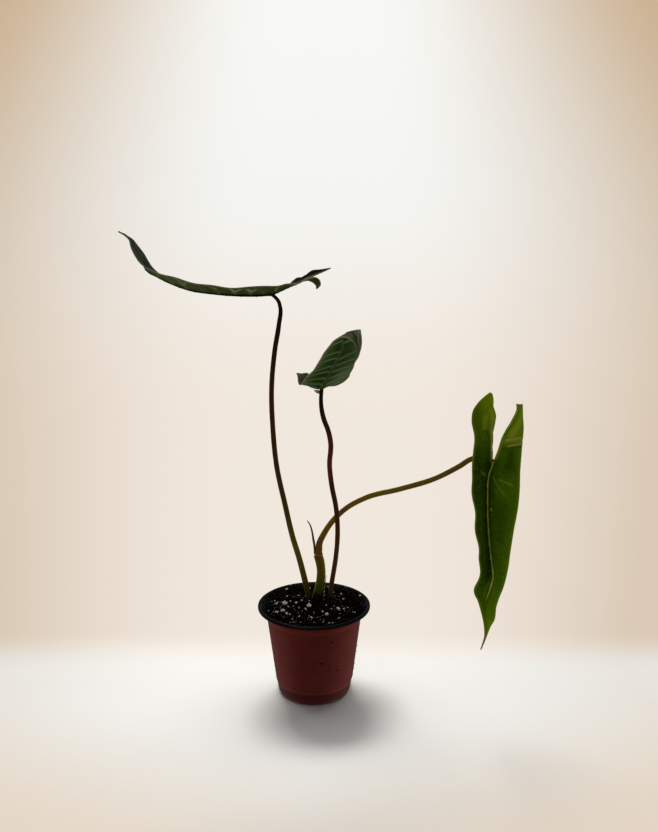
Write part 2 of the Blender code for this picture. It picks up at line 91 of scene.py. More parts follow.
def linear(code: str) -> Linear:
    """Turn an sRGB hex colour into linear light.

    Args:
        code: Six hex digits after a # sign.

    Returns:
        Linear red, green and blue, and an alpha of one.
    """
    parts = [int(code[i:i + 2], 16) / 255 for i in (1, 3, 5)]
    red, green, blue = (c / 12.92 if c <= 0.04045 else ((c + 0.055) / 1.055) ** 2.4 for c in parts)
    return red, green, blue, 1.0


def set_inputs(tree: NodeTree, node: Node, inputs: Mapping[str | int, Any]) -> None:
    """Give a node's input sockets their values and links.

    Args:
        tree: The node's tree.
        node: The node.
        inputs: Input sockets by name or number, each given a value or another node's output.
    """
    for key, value in inputs.items():
        if isinstance(value, NodeSocket):
            tree.links.new(value, node.inputs[key])
        else:
            node.inputs[key].default_value = value


def add_node(
    tree: NodeTree, kind: str, settings: Mapping[str, Any] | None = None,
    inputs: Mapping[str | int, Any] | None = None,
) -> Node:
    """Add a node with its settings, its own values and its incoming links.

    Args:
        tree: Node tree that gets the node.
        kind: The node's type name in Blender.
        settings: Properties of the node itself.
        inputs: Input sockets by name or number, each given a value or another node's output.

    Returns:
        The new node.
    """
    node = tree.nodes.new(kind)
    for name, value in (settings or {}).items():
        setattr(node, name, value)
    set_inputs(tree, node, inputs or {})
    return node


def new_material(name: str) -> tuple[Material, NodeTree, Node]:
    """Start a material.

    Args:
        name: The material's name.

    Returns:
        The material, its node tree and its shader.
    """
    material = bpy.data.materials.new(name)
    material.use_nodes = True
    return material, material.node_tree, material.node_tree.nodes["Principled BSDF"]


def spline(knots: np.ndarray, points: np.ndarray, where: np.ndarray) -> np.ndarray:
    """Follow the smooth cubic through some points.

    Args:
        knots: Distance along the curve at each point.
        points: The points, one a row.
        where: Distances at which places are wanted.

    Returns:
        One place for each distance.
    """
    slopes = np.gradient(points, knots, axis=0)
    index = np.clip(np.searchsorted(knots, where, side="right") - 1, 0, len(knots) - 2)
    span = (knots[index + 1] - knots[index])[:, None]
    t = (where - knots[index])[:, None] / span
    start = (2 * t**3 - 3 * t**2 + 1) * points[index] + (t**3 - 2 * t**2 + t) * span * slopes[index]
    end = (3 * t**2 - 2 * t**3) * points[index + 1] + (t**3 - t**2) * span * slopes[index + 1]
    return start + end


def chord_knots(points: np.ndarray) -> np.ndarray:
    """Return the distance along a chain of points at each of them."""
    return np.concatenate([[0.0], np.cumsum(np.linalg.norm(np.diff(points, axis=0), axis=1))])


def unit(vectors: np.ndarray) -> np.ndarray:
    """Return vectors of length one along the last axis."""
    return vectors / np.maximum(np.linalg.norm(vectors, axis=-1, keepdims=True), 1e-9)


def add_piece(name: str, mesh: Mesh) -> Object:
    """Add a mesh to the scene as an object at the origin.

    Args:
        name: The object's name.
        mesh: The mesh.

    Returns:
        The object.
    """
    piece = bpy.data.objects.new(name, mesh)
    bpy.context.scene.collection.objects.link(piece)
    return piece


def new_mesh(name: str, places: np.ndarray, faces: Sequence[Sequence[int]]) -> Mesh:
    """Make a smooth mesh from places in millimetres.

    Args:
        name: The mesh's name.
        places: One place a row, in millimetres.
        faces: Corner numbers of each face.

    Returns:
        The mesh, in metres.
    """
    mesh = bpy.data.meshes.new(name)
    mesh.from_pydata((np.asarray(places) * MM).tolist(), [], [list(map(int, face)) for face in faces])
    mesh.shade_smooth()
    return mesh


def store(mesh: Mesh, values: Mapping[str, np.ndarray]) -> None:
    """Store number attributes on a mesh's points."""
    for name, numbers in values.items():
        mesh.attributes.new(name, "FLOAT", "POINT").data.foreach_set("value", np.asarray(numbers, np.float32))


def grid_faces(numbers: np.ndarray) -> np.ndarray:
    """Return the four-sided faces of a grid of point numbers, four numbers a row."""
    corners = numbers[:-1, :-1], numbers[:-1, 1:], numbers[1:, 1:], numbers[1:, :-1]
    return np.stack(corners, -1).reshape(-1, 4)


def declare(piece: Object, slot: str, *nodes: str) -> None:
    """Ride a finished piece on the plant's body, in place of the CAD nodes that it stands for.

    Args:
        piece: The finished piece.
        slot: The record's material slot that the piece belongs to; it is only logged.
        nodes: CAD nodes that it replaces.
    """
    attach(piece, BODY)
    if nodes:
        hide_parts(*nodes)
    LOG.info("%s: %d faces, slot %s", piece.name, len(piece.data.polygons), slot)


def new_geometry_tree(name: str, inputs: Mapping[str, Sequence[str]]) -> NodeTree:
    """Start a Geometry Nodes tree with named inputs.

    Args:
        name: The tree's name.
        inputs: The named inputs of each type, after the geometry itself.

    Returns:
        The tree, with its Group Input and Group Output nodes.
    """
    tree = bpy.data.node_groups.new(name, "GeometryNodeTree")
    tree.interface.new_socket("Geometry", in_out="INPUT", socket_type="NodeSocketGeometry")
    for kind, labels in inputs.items():
        for label in labels:
            tree.interface.new_socket(label, in_out="INPUT", socket_type=f"NodeSocket{kind}")
    tree.interface.new_socket("Geometry", in_out="OUTPUT", socket_type="NodeSocketGeometry")
    tree.nodes.new("NodeGroupInput")
    tree.nodes.new("NodeGroupOutput")
    return tree


def end_tree(tree: NodeTree, shape: NodeSocket, offset: NodeSocket) -> None:
    """End a Geometry Nodes tree: move the shape's points, make it real and give it its material.

    Args:
        tree: The tree, which has an input named Material.
        shape: The shape.
        offset: How far each of its points moves.
    """
    moved = add_node(tree, "GeometryNodeSetPosition", inputs={"Geometry": shape, "Offset": offset}).outputs[0]
    real = add_node(tree, "GeometryNodeRealizeInstances", inputs={"Geometry": moved}).outputs[0]
    skin = tree.nodes["Group Input"].outputs["Material"]
    dressed = add_node(tree, "GeometryNodeSetMaterial", inputs={"Geometry": real, "Material": skin})
    tree.links.new(dressed.outputs[0], tree.nodes["Group Output"].inputs["Geometry"])


def run_tree(source: Object, tree: NodeTree, values: Mapping[str, Any]) -> Object:
    """Run a Geometry Nodes tree on an object and keep the result as a plain mesh piece.

    Args:
        source: The object that the tree starts from; it is used up.
        tree: The tree.
        values: Values of the tree's named inputs.

    Returns:
        The plain piece, under the source's name.
    """
    modifier = source.modifiers.new(tree.name, "NODES")
    modifier.node_group = tree
    sockets = {item.name: item.identifier for item in tree.interface.items_tree if item.in_out == "INPUT"}
    for label, value in values.items():
        modifier[sockets[label]] = value
    graph = bpy.context.evaluated_depsgraph_get()
    mesh = bpy.data.meshes.new_from_object(source.evaluated_get(graph), depsgraph=graph)
    name = source.name
    bpy.data.objects.remove(source, do_unlink=True)
    mesh.name = name
    return add_piece(name, mesh)


class Slot(Enum):
    """The record's material slots."""

    POT = "pot_red"
    PEAT = "peat_mix"
    SHOOT = "shoot_green"
    OLIVE = "petiole_olive"
    DARK = "petiole_dark"
    GREEN = "leaf_green"
    YELLOW_GREEN = "leaf_yellow_green"
    DRY = "dry_sheath"


class Face(Enum):
    """Which face of a blade a mark lies on, as the value of the blade's upper attribute."""

    UPPER = 1.0
    UNDER = 0.0


@dataclass(frozen=True)
class MouldedRed:
    """Thermoformed polystyrene, the pot's red outside: satin, dusty, a little chalky at grazing angles.

    The moulded grain is drawn at 0.6 mm, coarser than the real one, so that it shows in the render.
    Each band is a colour that comes in or goes out over a span of height, from one strength to another:
    painted shade over the foot band, a painted shadow along its bottom edge, pale lines of dust and painted
    highlight at the ridges, and the shoulder collar.
    """

    name: str = "polystyrene_thermoformed_brick_red"
    colour: str = "#772015"
    worn: str = "#88332c"
    # The deep foot colour is painted shade over the foot band, the edge colour a painted shadow along the
    # bottom where the pot meets the floor, and the line colour pale dust with a painted highlight.
    foot_shade: str = "#560401"
    collar: str = "#98281c"
    line: str = "#8e4238"
    edge: str = "#120202"
    bloom: str = "#e8beb8"
    roughness: float = 0.5
    grain_mm: float = 0.6
    cloud_mm: float = 18.0

    def bands(self) -> tuple[tuple[str, float, float, float, float], ...]:
        """List the bands of colour round the wall.

        Returns:
            Each band's colour, its lower and upper height, and its strength at both.
        """
        # In order: a pale line of dust and painted highlight at the foot band's top, painted shade over the
        # foot band, a painted shadow along the bottom edge, a pale line of dust and painted highlight below
        # the collar, the shoulder collar, and another such line at the shoulder's top.
        return (
            (self.line, 13.2, 15.0, 0.14, 0.0), (self.foot_shade, 11.2, 13.0, 0.95, 0.0),
            (self.edge, 0.3, 1.6, 0.9, 0.0), (self.line, 73.2, 73.8, 0.0, 0.12),
            (self.collar, 74.2, 75.2, 0.0, 0.8), (self.line, 79.2, 79.8, 0.0, 0.15),
        )

    def build(self) -> Material:
        """Build the material: clouds of dust over red, painted shade over the lower band and a painted shadow
        along the bottom edge, with a fine moulded grain.

        Returns:
            The material.
        """
        material, tree, shader = new_material(self.name)
        place = add_node(tree, "ShaderNodeTexCoord").outputs["Object"]
        height = add_node(tree, "ShaderNodeSeparateXYZ", inputs={0: place}).outputs["Z"]
        spread = {"Vector": place, "Scale": 1 / (self.cloud_mm * MM), "Detail": 5.0, "Roughness": 0.6}
        clouds = add_node(tree, NOISE, inputs=spread).outputs["Fac"]
        span = {"Value": clouds, "From Min": 0.42, "From Max": 0.72, "To Max": 0.55}
        share = add_node(tree, RANGE, inputs=span).outputs["Result"]
        ends = {0: share, 6: linear(self.colour), 7: linear(self.worn)}
        banded = add_node(tree, MIX, COLOURS, ends).outputs[2]
        for colour, bottom, top, low, high in self.bands():
            span = {"From Min": bottom * MM, "From Max": top * MM, "To Min": low, "To Max": high}
            share = add_node(tree, RANGE, SOFTLY, {"Value": height} | span).outputs["Result"]
            banded = add_node(tree, MIX, COLOURS, {0: share, 6: banded, 7: linear(colour)}).outputs[2]
        fine = {"Vector": place, "Scale": 1 / (self.grain_mm * MM), "Detail": 3.0}
        grain = add_node(tree, NOISE, inputs=fine).outputs["Fac"]
        bump = add_node(tree, BUMP, inputs={"Strength": 0.25, "Distance": 0.1 * MM, "Height": grain})
        span = {"Value": clouds, "To Min": self.roughness - 0.1, "To Max": self.roughness + 0.15}
        rough = add_node(tree, RANGE, inputs=span)
        set_inputs(tree, shader, {
            "Base Color": banded, "Roughness": rough.outputs["Result"], "Normal": bump.outputs["Normal"],
            "IOR": 1.5, "Specular IOR Level": 0.16, "Sheen Weight": 0.38, "Sheen Tint": linear(self.bloom),
            "Sheen Roughness": 0.5,
        })
        return material


@dataclass(frozen=True)
class MouldedBlack:
    """Thermoformed polystyrene, the pot's black inside and rolled rim: glossier, with grey rubbed streaks."""

    name: str = "polystyrene_thermoformed_black"
    colour: str = "#050404"
    rubbed: str = "#12100f"
    streak_mm: float = 2.5
    smudge_mm: float = 14.0

    def build(self) -> Material:
        """Build the material: black, with paler dusty streaks in smudged patches.

        Returns:
            The material.
        """
        material, tree, shader = new_material(self.name)
        place = add_node(tree, "ShaderNodeTexCoord").outputs["Object"]
        fine = {"Vector": place, "Scale": 1 / (self.streak_mm * MM), "Detail": 4.0, "Distortion": 0.6}
        streaks = add_node(tree, NOISE, inputs=fine).outputs["Fac"]
        coarse = {"Vector": place, "Scale": 1 / (self.smudge_mm * MM), "Detail": 3.0}
        smudges = add_node(tree, NOISE, inputs=coarse).outputs["Fac"]
        both = add_node(tree, MATH, MULTIPLY, {0: streaks, 1: smudges}).outputs[0]
        span = {"Value": both, "From Min": 0.27, "From Max": 0.46, "To Max": 0.7}
        rub = add_node(tree, RANGE, inputs=span).outputs["Result"]
        colour = add_node(tree, MIX, COLOURS, {0: rub, 6: linear(self.colour), 7: linear(self.rubbed)})
        rough = add_node(tree, RANGE, inputs={"Value": rub, "To Min": 0.24, "To Max": 0.45})
        bump = add_node(tree, BUMP, inputs={"Strength": 0.2, "Distance": 0.15 * MM, "Height": streaks})
        set_inputs(tree, shader, {
            "Base Color": colour.outputs[2], "Roughness": rough.outputs["Result"],
            "Normal": bump.outputs["Normal"], "IOR": 1.5, "Specular IOR Level": 0.2,
        })
        return material


@dataclass(frozen=True)
class Speckled:
    """A loose natural grain, such as peat, perlite or bark: matt, mottled, finely pitted."""

    name: str
    dark: str
    light: str
    patch_mm: float
    pit_mm: float
    pit_depth_mm: float = 0.2
    roughness: float = 0.9
    specular: float = 0.3
    spread: tuple[float, float] = (0.4, 0.65)

    def build(self) -> Material:
        """Build the material: two mottled colours and pits.

        Returns:
            The material.
        """
        material, tree, shader = new_material(self.name)
        place = add_node(tree, "ShaderNodeTexCoord").outputs["Object"]
        mottle = {"Vector": place, "Scale": 1 / (self.patch_mm * MM), "Detail": 6.0, "Roughness": 0.7}
        patches = add_node(tree, NOISE, inputs=mottle).outputs["Fac"]
        span = {"Value": patches, "From Min": self.spread[0], "From Max": self.spread[1]}
        share = add_node(tree, RANGE, inputs=span).outputs["Result"]
        colour = add_node(tree, MIX, COLOURS, {0: share, 6: linear(self.dark), 7: linear(self.light)})
        pits = add_node(tree, CELLS, inputs={"Vector": place, "Scale": 1 / (self.pit_mm * MM)})
        relief = {"Strength": 0.8, "Distance": self.pit_depth_mm * MM, "Height": pits.outputs["Distance"]}
        bump = add_node(tree, BUMP, inputs=relief)
        set_inputs(tree, shader, {
            "Base Color": colour.outputs[2], "Normal": bump.outputs["Normal"], "Roughness": self.roughness,
            "Specular IOR Level": self.specular,
        })
        return material


@dataclass(frozen=True)
class Epidermis:
    """The waxy skin of a stalk: it changes colour from foot to top and has fine lengthwise streaks.

    The stalk's skin attribute holds the place round the stalk and along it, in millimetres, and its along
    attribute runs from 0 at the foot to 1 at the top.
    """

    name: str
    stops: tuple[tuple[float, str], ...]
    streak: str
    roughness: float = 0.38
    streak_mm: float = 1.1
    stretch: float = 0.06
    fleck_mm: float = 1.25

    def build(self) -> Material:
        """Build the material: a ramp along the stalk, streaks, pale flecks and a soft waxy gloss.

        Returns:
            The material.
        """
        material, tree, shader = new_material(self.name)
        along = add_node(tree, READ, {"attribute_name": "along"}).outputs["Fac"]
        skin = add_node(tree, READ, {"attribute_name": "skin"}).outputs["Vector"]
        ramp = add_node(tree, "ShaderNodeValToRGB", inputs={"Fac": along})
        elements = ramp.color_ramp.elements
        while len(elements) < len(self.stops):
            elements.new(1.0)
        for element, (position, colour) in zip(elements, self.stops):
            element.position = position
            element.color = linear(colour)
        squeeze = {"Vector": skin, "Scale": (1.0, 1.0, self.stretch)}
        stretched = add_node(tree, "ShaderNodeMapping", {"vector_type": "POINT"}, squeeze).outputs[0]
        fine = {"Vector": stretched, "Scale": 1 / self.streak_mm, "Detail": 3.0}
        streaks = add_node(tree, NOISE, inputs=fine).outputs["Fac"]
        span = {"Value": streaks, "From Min": 0.45, "From Max": 0.75, "To Max": 0.5}
        share = add_node(tree, RANGE, inputs=span).outputs["Result"]
        ends = {0: share, 6: ramp.outputs["Color"], 7: linear(self.streak)}
        streaked = add_node(tree, MIX, COLOURS, ends).outputs[2]
        coarse = {"Vector": skin, "Scale": 1 / self.fleck_mm, "Detail": 2.0}
        flecks = add_node(tree, NOISE, inputs=coarse).outputs["Fac"]
        span = {"Value": flecks, "From Min": 0.35, "From Max": 0.65, "To Min": 0.8, "To Max": 1.2}
        fleck = add_node(tree, RANGE, inputs=span).outputs["Result"]
        colour = add_node(tree, MIX, COLOURS | {"blend_type": "MULTIPLY"}, {0: 1.0, 6: streaked, 7: fleck})
        bump = add_node(tree, BUMP, inputs={"Strength": 0.35, "Distance": 0.12 * MM, "Height": streaks})
        set_inputs(tree, shader, {
            "Base Color": colour.outputs[2], "Normal": bump.outputs["Normal"], "Roughness": self.roughness,
            "IOR": 1.45, "Specular IOR Level": 0.15,
        })
        return material


@dataclass(frozen=True)
class LeafSkin:
    """Living leaf tissue with a waxy upper side and a duller, pale-veined underside.

    It reads the blade's own attributes: upper (1 on the upper face), lobe (1 at a lobe's tip), shade (1 where
    the lamina takes its full painted shade), the marks (pale scars and painted highlights above zero, painted
    shade along folds and over patches below zero), tip (1 at the drip tip), and the distances rib, vein and
    edge in millimetres. The net of the finest veins is drawn at 1.3 mm, coarser than the real one, so that it
    shows. The brim is a paler strip inside the margin.
    """

    name: str
    upper: str
    upper_dark: str
    upper_lobe: str
    under: str
    under_dark: str
    under_lobe: str
    vein_upper: str
    vein_under: str
    rib_upper: str
    rib_under: str
    rib_core: str
    margin: str
    scar_and_painted_light: str = "#b5bf7c"
    fold_shade: str = "#141d06"
    tip: str = "#6b5436"
    brim: str = "#9fb020"
    brim_mm: float = 2.5
    brim_strength: float = 0.0
    vein_mm: float = 0.8
    rib_mm: float = 1.0
    core_mm: float = 0.35
    margin_mm: float = 0.5
    margin_strength: float = 0.5
    mottle: float = 0.35
    mottle_mm: float = 5.0
    net_mm: float = 1.3
    vein_strength_upper: float = 0.15
    vein_strength_under: float = 0.7
    upper_roughness: float = 0.42
    under_roughness: float = 0.55
    specular: float = 0.3

    def build(self) -> Material:
        """Build the material: lamina with its painted shade, lobes, veins, ribs, margin, and scars, painted
        highlights and painted fold shade, one over the other.

        Returns:
            The material.
        """
        material, tree, shader = new_material(self.name)
        names = ("upper", "lobe", "scar_and_painted_light", "rib", "vein", "edge", "shade", "tip")
        read = {name: add_node(tree, READ, {"attribute_name": name}).outputs["Fac"] for name in names}
        place = add_node(tree, "ShaderNodeTexCoord").outputs["Object"]
        mottle = {"Vector": place, "Scale": 1 / (self.mottle_mm * MM), "Detail": 5.0, "Roughness": 0.65}
        clouds = add_node(tree, NOISE, inputs=mottle).outputs["Fac"]
        cloud = {"Value": clouds, "From Min": 0.3, "From Max": 0.7}
        swing = {"To Min": -self.mottle, "To Max": self.mottle}
        patch = add_node(tree, RANGE, inputs=cloud | swing).outputs["Result"]
        clamped = {"operation": "ADD", "use_clamp": True}
        shaded = add_node(tree, MATH, clamped, {0: read["shade"], 1: patch}).outputs[0]
        line = {}
        for label, source, width, strength in (
            ("vein", "vein", self.vein_mm, 1.0), ("rib", "rib", self.rib_mm, 1.0),
            ("core", "rib", self.core_mm, 1.0), ("edge", "edge", self.margin_mm, self.margin_strength),
            ("brim", "edge", self.brim_mm, self.brim_strength),
        ):
            span = {"From Min": 0.25 * width, "From Max": width, "To Min": strength, "To Max": 0.0}
            line[label] = add_node(tree, RANGE, SOFTLY, {"Value": read[source]} | span).outputs["Result"]
        sides = []
        for plain, dark, lobe, vein, rib, core, strength in (
            (self.under, self.under_dark, self.under_lobe, self.vein_under, self.rib_under, self.rib_core,
             self.vein_strength_under),
            (self.upper, self.upper_dark, self.upper_lobe, self.vein_upper, self.rib_upper, self.rib_upper,
             self.vein_strength_upper),
        ):
            faded = add_node(tree, MATH, MULTIPLY, {0: line["vein"], 1: strength}).outputs[0]
            below = linear(plain)
            for share, colour in (
                (shaded, dark), (read["lobe"], lobe), (line["brim"], self.brim), (faded, vein),
                (line["rib"], rib), (line["core"], core),
            ):
                below = add_node(tree, MIX, COLOURS, {0: share, 6: below, 7: linear(colour)}).outputs[2]
            sides.append(below)
        marked = add_node(tree, MIX, COLOURS, {0: read["upper"], 6: sides[0], 7: sides[1]}).outputs[2]
        pale = add_node(tree, RANGE, inputs={"Value": read["scar_and_painted_light"]}).outputs["Result"]
        below_zero = {"Value": read["scar_and_painted_light"], "From Min": -1.0, "From Max": 0.0, "To Min": 1.0, "To Max": 0.0}
        fold_shade_share = add_node(tree, RANGE, inputs=below_zero).outputs["Result"]
        # Over them: the pale margin, pale scars and painted highlights, painted shade along folds and over
        # patches, and the drip tip.
        for share, colour in (
            (line["edge"], self.margin), (pale, self.scar_and_painted_light), (fold_shade_share, self.fold_shade), (read["tip"], self.tip),
        ):
            marked = add_node(tree, MIX, COLOURS, {0: share, 6: marked, 7: linear(colour)}).outputs[2]
        ends = {0: read["upper"], 2: self.under_roughness, 3: self.upper_roughness}
        gloss = add_node(tree, MIX, {"data_type": "FLOAT"}, ends).outputs[0]
        rough = add_node(tree, RANGE, inputs=cloud | {"To Min": -0.06, "To Max": 0.1}).outputs["Result"]
        uneven = add_node(tree, MATH, {"operation": "ADD"}, {0: gloss, 1: rough}).outputs[0]
        fine = {"Vector": place, "Scale": 1 / (self.net_mm * MM)}
        net = add_node(tree, CELLS, {"feature": "DISTANCE_TO_EDGE"}, fine).outputs["Distance"]
        cells = add_node(tree, RANGE, inputs={"Value": net, "From Max": 0.2}).outputs["Result"]
        bump = add_node(tree, BUMP, inputs={"Strength": 0.35, "Distance": 0.1 * MM, "Height": cells})
        set_inputs(tree, shader, {
            "Base Color": marked, "Roughness": uneven, "Normal": bump.outputs["Normal"], "IOR": 1.42,
            "Specular IOR Level": self.specular,
        })
        return material


def vertex_normals(places: np.ndarray, faces: np.ndarray) -> np.ndarray:
    """Return the mean direction of the four-sided faces round each point.

    Args:
        places: One place a row.
        faces: Four corner numbers a row.

    Returns:
        One unit vector a point.
    """
    corner = places[faces]
    facing = np.cross(corner[:, 2] - corner[:, 0], corner[:, 3] - corner[:, 1])
    normals = np.zeros_like(places)
    for i in range(4):
        np.add.at(normals, faces[:, i], facing)
    return unit(normals)


def close_sheet(
    top: np.ndarray, faces: np.ndarray, thickness: np.ndarray, edge_roundness: float = 0.3,
) -> tuple[np.ndarray, np.ndarray, np.ndarray]:
    """Turn a sheet into a closed solid with a rounded edge.

    Args:
        top: Places of the sheet's upper side.
        faces: Its four-sided faces, turned so that they face upwards.
        thickness: Thickness below each point.
        edge_roundness: How far the edge stands out, as a share of the thickness.

    Returns:
        The solid's places, its faces, and the number of the edge points, which come last.
    """
    normals = vertex_normals(top, faces)
    under = top - normals * thickness[:, None]
    edges = np.concatenate([faces[:, [i, (i + 1) % 4]] for i in range(4)])
    count = len(top)
    open_edges = edges[~np.isin(edges[:, 0] * count + edges[:, 1], edges[:, 1] * count + edges[:, 0])]
    outward = np.zeros_like(top)
    run = unit(top[open_edges[:, 1]] - top[open_edges[:, 0]])
    for i in range(2):
        np.add.at(outward, open_edges[:, i], np.cross(run, normals[open_edges[:, i]]))
    rim = np.unique(open_edges)
    middle = (top[rim] + under[rim]) / 2 + unit(outward[rim]) * thickness[rim, None] * edge_roundness
    number = np.zeros(count, int)
    number[rim] = np.arange(len(rim)) + 2 * count
    a, b = open_edges.T
    upper_strip = np.stack([b, a, number[a], number[b]], 1)
    under_strip = np.stack([number[b], number[a], a + count, b + count], 1)
    places = np.concatenate([top, under, middle])
    return places, np.concatenate([faces, faces[:, ::-1] + count, upper_strip, under_strip]), rim


@dataclass(frozen=True)
class Mark:
    """A pale scar or painted highlight, or painted shade along a fold or over a patch, on a blade, from one
    place to another in the blade's own measures.

    A place is the distance along the midrib from the junction, negative in the lobes, and the distance from
    the midrib as a share of the half's width, negative on the leaf's left. Painted shade has a strength below
    zero, and relief lifts the sheet along the mark, or sinks it.
    """

    start: tuple[float, float]
    end: tuple[float, float]
    width: float
    strength: float
    face: Face = Face.UPPER
    relief: float = 0.0


@dataclass
class Blade:
    """One leaf blade, drawn by given sections from its junction, as the CAD model draws it.

    A section is a line along a pair of side veins: midrib, left margin, right margin. Left and right are
    the leaf's own, seen from its base with its upper side up. A lobe's sections run from the junction to
    the lobe's tip: inner edge, outer margin. Fields named shade set how much painted shade darkens the
    lamina.
    """

    name: str
    node: str
    slot: Slot
    junction: Point
    sections: Rows
    left_lobe: Rows
    right_lobe: Rows
    skin: LeafSkin
    ruffle: float
    veins: tuple[tuple[float, ...], tuple[float, ...]]
    vein_pitch: float
    vein_sweep: tuple[float, float] = (0.0, 0.0)
    basal_rib: tuple[tuple[float, float], ...] = ((0.0, 0.0), (0.25, 0.12), (1.0, 0.45))
    basal_show: tuple[float, float] = (0.8, 0.8)
    basal_end: float = 0.9
    basal_root: float = 3.0
    rib_end: float = 1000.0
    rib_fade: float = 20.0
    upper_shade: tuple[float, float] = (0.3, 0.3)
    under_shade: tuple[float, float] = (0.1, 0.9)
    rib_shade: float = 0.35
    rib_shade_reach: float = 0.3
    lobe_light: float = 0.6
    under_reach: float = 0.62
    marks: tuple[Mark, ...] = ()
    cup: float = 0.05
    quilt: float = 0.55
    quilt_clear: float = 1.8
    lamina: float = 0.45
    margin_bead: float = 0.3
    bead_width: float = 0.5
    margin_inset: float = 0.35
    rib_height: float = 1.7
    rib_width: float = 1.1
    vein_height: float = 0.25
    vein_width: float = 0.6
    groove: float = 0.3
    groove_width: float = 0.7
    groove_shoulder: float = 1.9
    row_step: float = 0.7
    columns: int = 25
    ruffle_pitch: float = 32.0
    drip: float = 9.0
    tip_lobe: float = 0.0
    full_relief_width: float = 12.0

    def shares(self) -> np.ndarray:
        """Return the columns' places across a half, close together at the midrib and at the margin."""
        return (1 - np.cos(np.pi * np.linspace(0, 1, self.columns))) / 2

    def half(
        self, inner: np.ndarray, outer: np.ndarray, along: np.ndarray, side: int, rib_share: np.ndarray,
        show: np.ndarray,
    ) -> tuple[np.ndarray, dict[str, np.ndarray]]:
        """Shape one half of the blade between its inner edge and its margin.

        Args:
            inner: Places of the inner edge, one a row.
            outer: Places of the margin.
            along: Distance along the midrib of each row, negative in a lobe.
            side: -1 for the leaf's left half, 1 for its right.
            rib_share: Where the rib lies across each row, 0 at the inner edge.
            show: How strongly the rib shows in each row.

        Returns:
            A grid of places and a grid of each measure that the material reads.
        """
        share = self.shares()[None, :]
        along, show = along[:, None], show[:, None]
        reach = np.linalg.norm(outer - inner, axis=1, keepdims=True)
        outer = outer - (outer - inner) * np.minimum(self.margin_inset / np.maximum(reach, 1e-6), 0.4)
        flat = inner[:, None] * (1 - share[..., None]) + outer[:, None] * share[..., None]
        normal = unit(np.cross(np.gradient(flat, axis=1), np.gradient(flat, axis=0)) * side)
        width = np.linalg.norm(outer - inner, axis=1)[:, None]
        relief = np.minimum(width / self.full_relief_width, 1)
        half = (1 + side) // 2
        rib = np.abs(share - rib_share[:, None]) * width
        rise = along - self.vein_sweep[half] * relief * share**1.2
        phase = self.vein_number(rise, half)
        near = self.vein_number(rise + 0.5, half) - self.vein_number(rise - 0.5, half)
        vein = np.abs(phase - np.round(phase)) / near
        pillow = np.abs(np.sin(np.pi * phase)) ** 0.7 - 0.7
        wave = np.sin(2 * np.pi * along / self.ruffle_pitch + side)
        shoulder = 0.5 * np.exp(-4 * (rib / self.groove_shoulder - 1) ** 2)
        whole = 0 * share + 0 * width
        height = (
            self.cup * width * 4 * share * (1 - share)
            + self.quilt * relief * pillow * (1 - np.exp(-rib / self.quilt_clear)) * (1 - share**2)
            + self.ruffle * relief * wave * share**3
            + self.groove * show * (shoulder - np.exp(-((rib / self.groove_width) ** 2)))
            + self.mark_field(along + whole, side * share + whole, None)
        )
        grids = {
            "rib": rib / np.maximum(show, 0.1) + 2 * (1 - show) ** 2,
            "vein": vein + 0.45 * share**3,
            "edge": (1 - share) * width,
            "reach": share + whole,
            "along": along + whole,
            "side": side * share + whole,
        }
        return flat + normal * height[..., None], grids

    def vein_number(self, along: np.ndarray, half: int) -> np.ndarray:
        """Count the side veins up to a distance along the midrib: a whole number lies on a vein.

        Args:
            along: Distances along the midrib.
            half: 0 for the leaf's left half, 1 for its right.

        Returns:
            One number a distance.
        """
        veins = np.array(self.veins[half], float)
        steps = np.arange(1, 9) * self.vein_pitch
        places = np.concatenate([veins[0] - steps[::-1], veins, veins[-1] + steps])
        return np.interp(along, places, np.arange(len(places)))

    def grids(self) -> list[tuple[np.ndarray, dict[str, np.ndarray]]]:
        """Shape the main blade and both lobes.

        Returns:
            The main blade, the left lobe and the right lobe, each as a grid of places from the left margin
            to the right with its grids of measures.
        """
        middle = np.array([section[0] for section in self.sections], float)
        knots = chord_knots(middle)
        rows = np.linspace(0.0, knots[-1], round(knots[-1] / self.row_step) + 1)
        midrib = spline(knots, middle, rows)
        halves, lobes = [], []
        for side, lobe, column in ((-1, self.left_lobe, 1), (1, self.right_lobe, 2)):
            edge = np.array([section[column] for section in self.sections], float)
            lobe_inner = np.array([(0, 0, 0)] + [section[0] for section in lobe], float)
            lobe_outer = np.array([edge[0]] + [section[1] for section in lobe], float)
            back = chord_knots((lobe_inner + lobe_outer) / 2)
            margin_knots = np.concatenate([-back[:0:-1], knots])
            margin = np.concatenate([lobe_outer[:0:-1], edge])
            show = np.clip((self.rib_end - rows) / self.rib_fade, 0, 1)
            halves.append(self.half(midrib, spline(margin_knots, margin, rows), rows, side, 0 * rows, show))
            lobe_rows = np.linspace(-back[-1], 0.0, round(back[-1] / self.row_step) + 1)
            reach = -lobe_rows / back[-1]
            rib_share = np.interp(reach, *np.array(self.basal_rib).T)
            show = np.clip((self.basal_end - reach) / 0.1, 0, 1) * self.basal_show[(1 + side) // 2]
            show = np.maximum(show, 1 - reach * back[-1] / self.basal_root)
            inner = spline(back, lobe_inner, -lobe_rows)
            lobe_margin = spline(margin_knots, margin, lobe_rows)
            places, grids = self.half(inner, lobe_margin, lobe_rows, side, rib_share, show)
            grids["lobe"] = reach[:, None] + 0 * grids["reach"]
            # A lobe's inner edge counts as a margin too, but not where the lobe is still joined
            width = np.linalg.norm(places[:, -1] - places[:, 0], axis=1)[:, None]
            from_inner = grids["reach"] * width + 6 * (1 - np.minimum(reach * 5, 1))[:, None]
            grids["edge"] = np.minimum(grids["edge"], from_inner)
            lobes.append((places[:-1], {name: grid[:-1] for name, grid in grids.items()}))
